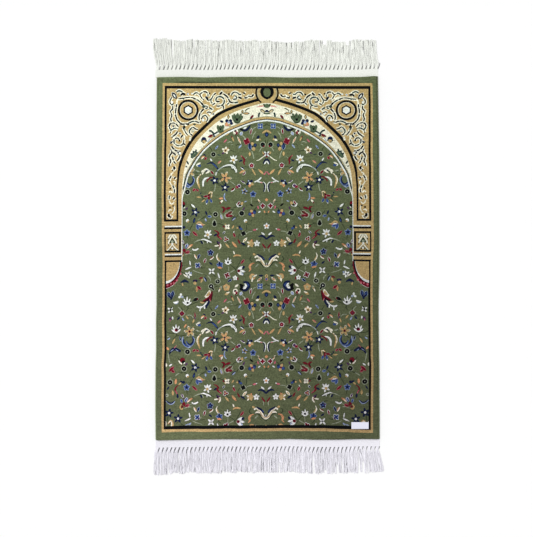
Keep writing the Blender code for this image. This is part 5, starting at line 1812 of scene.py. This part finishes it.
# Each yarn crimps sideways in its own phase, tapers at its cut end, and keeps its length so far and
# the direction round it for the look of its plies.
hanging, given, result = geometry_tree(
    "Fringe yarns", Yarn_Width="Float", Yarn_Height="Float", Crimp="Float", Seed="Int", Material="Material")
guides = node(hanging, "GeometryNodeMeshToCurve", {0: given["Geometry"]}).outputs[0]
fine = resampled(hanging, guides, len(YARN_SHARES))
spline = node(hanging, "GeometryNodeSplineParameter").outputs
lot = node(hanging, "FunctionNodeRandomValue", {2: 0.0, 3: 1.0, "Seed": given["Seed"]}, data_type="FLOAT")
dealt = stored(hanging, fine, "lot", lot.outputs[1], "FLOAT", "CURVE")
own = node(hanging, "GeometryNodeInputNamedAttribute", {"Name": "lot"}, data_type="FLOAT").outputs[0]
phase = calc(hanging, "MULTIPLY", own, 37.0)
ripple = wave(hanging, spline["Length"], 260.0, phase)
slow = wave(hanging, spline["Length"], 95.0, calc(hanging, "MULTIPLY", phase, 1.7))
free = spread(hanging, spline["Length"], 0.010, 0.035, 0.0, 1.0)
both = calc(hanging, "ADD", ripple, calc(hanging, "MULTIPLY", slow, 1.5))
shift = vector(hanging, product(hanging, both, given["Crimp"], free))
bent = node(hanging, "GeometryNodeSetPosition", {"Geometry": dealt, "Offset": shift}).outputs[0]
kept = stored(hanging, bent, "along", spline["Length"], "FLOAT", "POINT")
taper = spread(hanging, spline["Factor"], 0.86, 1.0, 1.0, 0.55)
thin = node(hanging, "GeometryNodeSetCurveRadius", {"Curve": kept, "Radius": taper}).outputs[0]
level = node(hanging, "GeometryNodeSetCurveNormal", {"Curve": thin}, mode="Z_UP").outputs[0]
loop = ellipse(hanging, 6, *(
    calc(hanging, "MULTIPLY", given[size], 0.5) for size in ("Yarn Width", "Yarn Height")))
turned = node(hanging, "GeometryNodeSplineParameter").outputs["Factor"]
around = calc(hanging, "MULTIPLY", turned, math.tau)
direction = vector(hanging, calc(hanging, "COSINE", around), calc(hanging, "SINE", around))
marked = stored(hanging, loop, "round", direction, "FLOAT_VECTOR", "POINT")
complete(hanging, swept(hanging, level, marked), given, result)


def attribute(tree, name, output):
    return node(tree, "ShaderNodeAttribute", attribute_name=name).outputs[output]


def bands(tree, place, direction, scale, distortion):
    """Soft stripes across X or Y."""
    inputs = {"Vector": place, "Scale": scale, "Distortion": distortion, "Detail": 1.0}
    return node(tree, "ShaderNodeTexWave", inputs, bands_direction=direction).outputs["Fac"]


def cotton(name, colour, twisted):
    """Undyed cotton: plied yarn where it hangs, and plain weave in the strip."""
    made, tree, surface, place = material(name, 0.8, Sheen_Weight=0.05, Specular_IOR_Level=0.25)
    if twisted:
        ring = split(tree, attribute(tree, "round", "Vector"))
        twist = calc(tree, "MULTIPLY", attribute(tree, "along", "Fac"), math.tau / PLY_LENGTH)
        ply = calc(tree, "ADD", calc(tree, "MULTIPLY", calc(tree, "SINE", twist), ring[0]),
                   calc(tree, "MULTIPLY", calc(tree, "COSINE", twist), ring[1]))
        height = calc(tree, "ABSOLUTE", ply)
        # The grooves between the plies are painted darker, as painted shade, and each yarn takes the painted
        # light of its guide.
        groove = spread(tree, height, 0.0, 0.35, 0.72, 1.0)
        tone, deep = product(tree, groove, attribute(tree, "lit", "Fac")), 0.0004
    else:
        weft, warp = bands(tree, place, "Y", 150.0, 0.6), bands(tree, place, "X", 115.0, 0.4)
        height = calc(tree, "ADD", weft, calc(tree, "MULTIPLY", warp, 0.5))
        # Where the weave is low it is painted darker, as painted shade in its hollows.
        tone = product(tree, spread(tree, weft, 0, 1, 0.90, 1.04), spread(tree, warp, 0, 1, 0.95, 1.03))
        deep = 0.0003
    fibres = cloud(tree, place, 900.0, 3.0)
    tone = product(tree, tone, shaded(tree, fibres, 0.95, 1.04))
    height = calc(tree, "ADD", height, calc(tree, "MULTIPLY", fibres, 0.4))
    cover(tree, surface, scaled(tree, colour, tone), height, 0.7, deep)
    return made


def woven_strip(outwards, past_left):
    """The strip's cross-section, with its ribs, carried along the end of the rug."""
    ys = np.linspace(0, STRIP_WIDTH, STRIP_RIBS * 4 + 1)
    rib = STRIP_THICKNESS - RIB_DEPTH * (0.5 + 0.5 * np.cos(ys / STRIP_WIDTH * STRIP_RIBS * math.tau))
    section = np.vstack([np.column_stack([ys, rib]), [(STRIP_WIDTH, 0), (0, 0)]])
    rings = []
    for x in np.linspace(-RUG_WIDTH / 2 - past_left, RUG_WIDTH / 2, STRIP_STEPS):
        out = outwards * (RUG_LENGTH / 2 + STRIP_GAP + section[:, 0])
        rings.append(np.column_stack([*strayed(np.full(len(section), x), out), section[:, 1]]))
    n = len(section)
    faces = []
    for i in range(STRIP_STEPS - 1):
        for j in range(n):
            k = (j + 1) % n
            faces.append([i * n + j, i * n + k, (i + 1) * n + k, (i + 1) * n + j])
    faces.append(list(range(n))[::-1])
    faces.append(list(range((STRIP_STEPS - 1) * n, STRIP_STEPS * n)))
    return np.vstack(rings), faces if outwards < 0 else [face[::-1] for face in faces]


def progress(value, start, over):
    """How far a value has gone from a start over a stretch, from 0 to 1."""
    return min(1.0, max(0.0, (value - start) / over))


def fringe_guides(outwards, past_left, seed):
    """A path for each yarn, from under the strip's edge out to its cut end, and how lit each one is."""
    chance = random.Random(seed)
    root_y = RUG_LENGTH / 2 + STRIP_GAP + STRIP_WIDTH
    left = -RUG_WIDTH / 2 - past_left
    pitch = (RUG_WIDTH + past_left) / BUNDLES
    lean_row, reach_row = (1, 2) if outwards > 0 else (3, 4)
    points, edges, lit = [], [], []

    def lay(root_x, fan, lean, long, sway, high, light, phase):
        first = len(points)
        for share in YARN_SHARES:
            out = share * long
            x = root_x + outwards * SLANT_SHIFT * progress(out, 0, SLANT_LENGTH)
            x += fan * progress(out, FAN_START, FAN_LENGTH)
            x += lean * math.sin(max(share, 0) * math.pi / 2) + sway * max(0.0, share - 0.1) ** 1.2
            x += WAVE * math.sin(out / WAVE_LENGTH * math.tau + phase) * progress(out, 0, WAVE_GROWTH)
            wx, wy = strayed(x, outwards * (root_y + out))
            upper = max(0.0, high / YARN_HEIGHT - 0.6)
            z = high - SINKING * upper * progress(out, SINKING_START, SINKING_LENGTH)
            points.append((float(wx), float(wy), min(z, ROOT_HEIGHT) if out < ROOT_LENGTH else z))
            lit.append(light)
        edges.extend((i, i + 1) for i in range(first, len(points) - 1))

    for bundle in range(BUNDLES):
        middle = left + pitch * (bundle + 0.5)
        lean = np.interp(middle, LOCK_ROWS[:, 0], LOCK_ROWS[:, lean_row])
        reach = np.interp(middle, LOCK_ROWS[:, 0], LOCK_ROWS[:, reach_row]) + chance.uniform(*REACH_CHANCE)
        phase = middle / WAVE_ACROSS * math.tau + chance.uniform(-PHASE_CHANCE, PHASE_CHANCE)
        swing = chance.uniform(-BUNDLE_SWING, BUNDLE_SWING)
        # The lower yarns are painted darker than the upper ones, as painted shade under them; each yarn's
        # painted light goes with it as lit.
        for many, high, loose, lights in (
            (LOWER_YARNS, 0.52 * YARN_HEIGHT, 0.4, (0.80, 0.95)),
            (UPPER_YARNS, 1.5 * YARN_HEIGHT, 1.0, (0.92, 1.06)),
        ):
            for k in range(many):
                spot = (k + 0.5 + chance.uniform(-PLACE_CHANCE, PLACE_CHANCE)) / many - 0.5
                sway = swing + chance.uniform(-YARN_STRAY, YARN_STRAY) * loose
                long = reach - abs(chance.gauss(0, YARN_UNEVEN))
                for at, less, wide in SHORT_AT[outwards]:
                    if abs(middle + spot * pitch + lean + sway - at) < wide:
                        long -= less
                light = chance.uniform(*lights)
                root_x, fan = middle + spot * CORD_WIDTH, spot * (pitch - CORD_WIDTH)
                lay(root_x, fan, lean, long, sway, high, light, phase)
        # The short warp in the gap between two cords, painted dark as a painted shadow.
        lay(middle + pitch / 2, 0.0, 0.0, SHADED_WARP * chance.choice(SHADED_SHARES), 0.0, 0.3 * YARN_HEIGHT,
            chance.uniform(0.16, 0.42), phase)
    return points, edges, lit


for end_name, outwards, past_left, colour, seed in (
    ("head", 1, 0.0045, (0.92, 0.94, 0.88), 11), ("foot", -1, 0.0, (0.90, 0.885, 0.95), 12),
):
    guide_points, guide_edges, guide_lit = fringe_guides(outwards, past_left, seed)
    fringe = wire_of(end_name + "_fringe", guide_points, guide_edges)
    fringe.data.attributes.new("lit", "FLOAT", "POINT").data.foreach_set("value", guide_lit)
    grow(fringe, hanging, Yarn_Width=YARN_WIDTH, Yarn_Height=YARN_HEIGHT, Crimp=CRIMP, Seed=seed,
         Material=cotton(end_name + " fringe yarn", colour, True))
    strip = mesh_of(end_name + "_strip", *woven_strip(outwards, past_left), smooth=False)
    strip_colour = tuple(0.97 * share for share in colour)
    strip.data.materials.append(cotton(end_name + " strip weave", strip_colour, False))
    for piece in (strip, fringe):
        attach(piece, "root")
        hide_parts("fringe_" + end_name)


# ---- The label --------------------------------------------------------------------------------------
# A bare strip of woven satin, folded under at its short ends and sewn down on the pile with thread.

LABEL_FOLD = 0.006
# How far in from a short end, and how high there: the end is round, and past the fold the satin is thin.
LABEL_LEVELS = (
    (0, 0.0005), (0.0003, 0.0009), (0.0010, 0.0010), (LABEL_FOLD - 0.0004, 0.0010),
    (LABEL_FOLD + 0.0008, 0.0006),
)
LABEL_ROWS = 11
LONG_EDGE_DROP = 0.0001
STITCHES = 9
STITCH_STEP = 0.0023
STITCH_INSET = 0.0022
STITCH_HEIGHT = 0.00078
STITCH_HALF_LENGTH = 0.00085
THREAD_RADIUS = 0.00022
THREAD_RINGS = 5
THREAD_SIDES = 6

low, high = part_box("label")
label_x, label_y = (low[0] + high[0]) / 2, (low[1] + high[1]) / 2
half_x, half_y = (high[0] - low[0]) / 2, (high[1] - low[1]) / 2
# The points across it stand closer together at its ends.
xs = np.concatenate([[-1, -0.995, -0.98], np.linspace(-0.94, 0.94, 25), [0.98, 0.995, 1]]) * half_x
ys = np.linspace(-half_y, half_y, LABEL_ROWS)
top_z = low[2] + np.interp(half_x - np.abs(xs), *np.array(LABEL_LEVELS).T)
label_points = []
for y in ys:
    drop = LONG_EDGE_DROP if abs(y) > half_y - 1e-6 else 0
    label_points += [(label_x + x, label_y + y, z - drop) for x, z in zip(xs, top_z)]
below, n = len(label_points), len(xs)
label_points += [(label_x + x, label_y + y, low[2]) for y in ys for x in xs]
quads = []
for j in range(len(ys) - 1):
    for i in range(n - 1):
        a = j * n + i
        quads.append((a, a + 1, a + n + 1, a + n))
        quads.append(tuple(below + corner for corner in (a, a + n, a + n + 1, a + 1)))
index = np.arange(below).reshape(len(ys), n)
edge_ring = np.concatenate([index[0], index[1:, -1], index[-1, -2::-1], index[-2:0:-1, 0]]).tolist()
for a, b in zip(edge_ring, edge_ring[1:] + edge_ring[:1]):
    quads.append((a, below + a, below + b, b))

# Stitches along both short ends: short lengths of thread, half sunk in the satin.
for end in (-1, 1):
    for k in range(STITCHES):
        stitch_x = label_x + end * (half_x - STITCH_INSET)
        stitch_y = label_y + (k - STITCHES // 2) * STITCH_STEP
        first = len(label_points)
        for t in np.linspace(-1, 1, THREAD_RINGS):
            radius = THREAD_RADIUS * math.sqrt(max(0.15, 1 - t * t))
            for side in range(THREAD_SIDES):
                a = side * math.tau / THREAD_SIDES
                label_points.append((stitch_x + radius * math.cos(a), stitch_y + t * STITCH_HALF_LENGTH,
                                     low[2] + STITCH_HEIGHT + radius * math.sin(a)))
        sides = list(range(THREAD_SIDES))
        for ring in range(THREAD_RINGS - 1):
            for side in sides:
                a = first + ring * THREAD_SIDES + side
                b = first + ring * THREAD_SIDES + (side + 1) % THREAD_SIDES
                quads.append((a + THREAD_SIDES, b + THREAD_SIDES, b, a))
        last = first + (THREAD_RINGS - 1) * THREAD_SIDES
        quads.append(tuple(first + side for side in sides))
        quads.append(tuple(last + side for side in sides[::-1]))
label = mesh_of("woven_label", label_points, quads)
satin, tree, surface, place = material("Label satin", 0.42, Sheen_Weight=0.1)
threads = cloud(tree, stretched(tree, place, (300, 5000, 300)), 1.0, 2.0)
cover(tree, surface, scaled(tree, (0.74, 0.74, 0.85), shaded(tree, threads, 0.9, 1.05)), threads, 0.3, 0.0001)
label.data.materials.append(satin)
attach(label, "root")
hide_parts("label")


# ---- The floor, the light and the camera ------------------------------------------------------------
# A plain pale studio floor, one wide soft light from the upper left, and a camera straight above.

FLOOR_HALF = 4
CAMERA_PLACE = (-0.0026, -0.0384)
CAMERA_HEIGHT = 3.4
# The width of what the camera sees at the height of the pile, and of its sensor in millimetres.
FRAME_WIDTH = 1.670
SENSOR_WIDTH = 36.0

floor_corners = [(FLOOR_HALF * x, FLOOR_HALF * y, 0) for x, y in ((-1, -1), (1, -1), (1, 1), (-1, 1))]
floor = mesh_of("floor", floor_corners, [(0, 1, 2, 3)], smooth=False)
paper, tree, surface, place = material("Studio floor", 0.9)
grain = shaded(tree, cloud(tree, place, 300.0, 2.0), 0.995, 1.005)
tree.links.new(scaled(tree, (0.93, 0.93, 0.93), grain), surface.inputs["Base Color"])
floor.data.materials.append(paper)

scene = bpy.context.scene
scene.view_settings.view_transform = "Standard"
world = bpy.data.worlds.new("Studio")
scene.world = world
world.use_nodes = True
world.node_tree.nodes["Background"].inputs["Color"].default_value = (1, 1, 1, 1)
world.node_tree.nodes["Background"].inputs["Strength"].default_value = 0.70

lamp = bpy.data.lights.new("Key", "SUN")
lamp.angle = math.radians(28)
lamp.energy = 1.55
key = bpy.data.objects.new("Key", lamp)
key.rotation_euler = Vector((0.55, -0.62, -1.0)).to_track_quat("-Z", "Y").to_euler()
scene.collection.objects.link(key)

lens = bpy.data.cameras.new("Above")
lens.sensor_fit = "HORIZONTAL"
lens.sensor_width = SENSOR_WIDTH
lens.lens = SENSOR_WIDTH * CAMERA_HEIGHT / FRAME_WIDTH
camera = bpy.data.objects.new("Above", lens)
camera.location = (*CAMERA_PLACE, PILE_HEIGHT + CAMERA_HEIGHT)
scene.collection.objects.link(camera)
scene.camera = camera
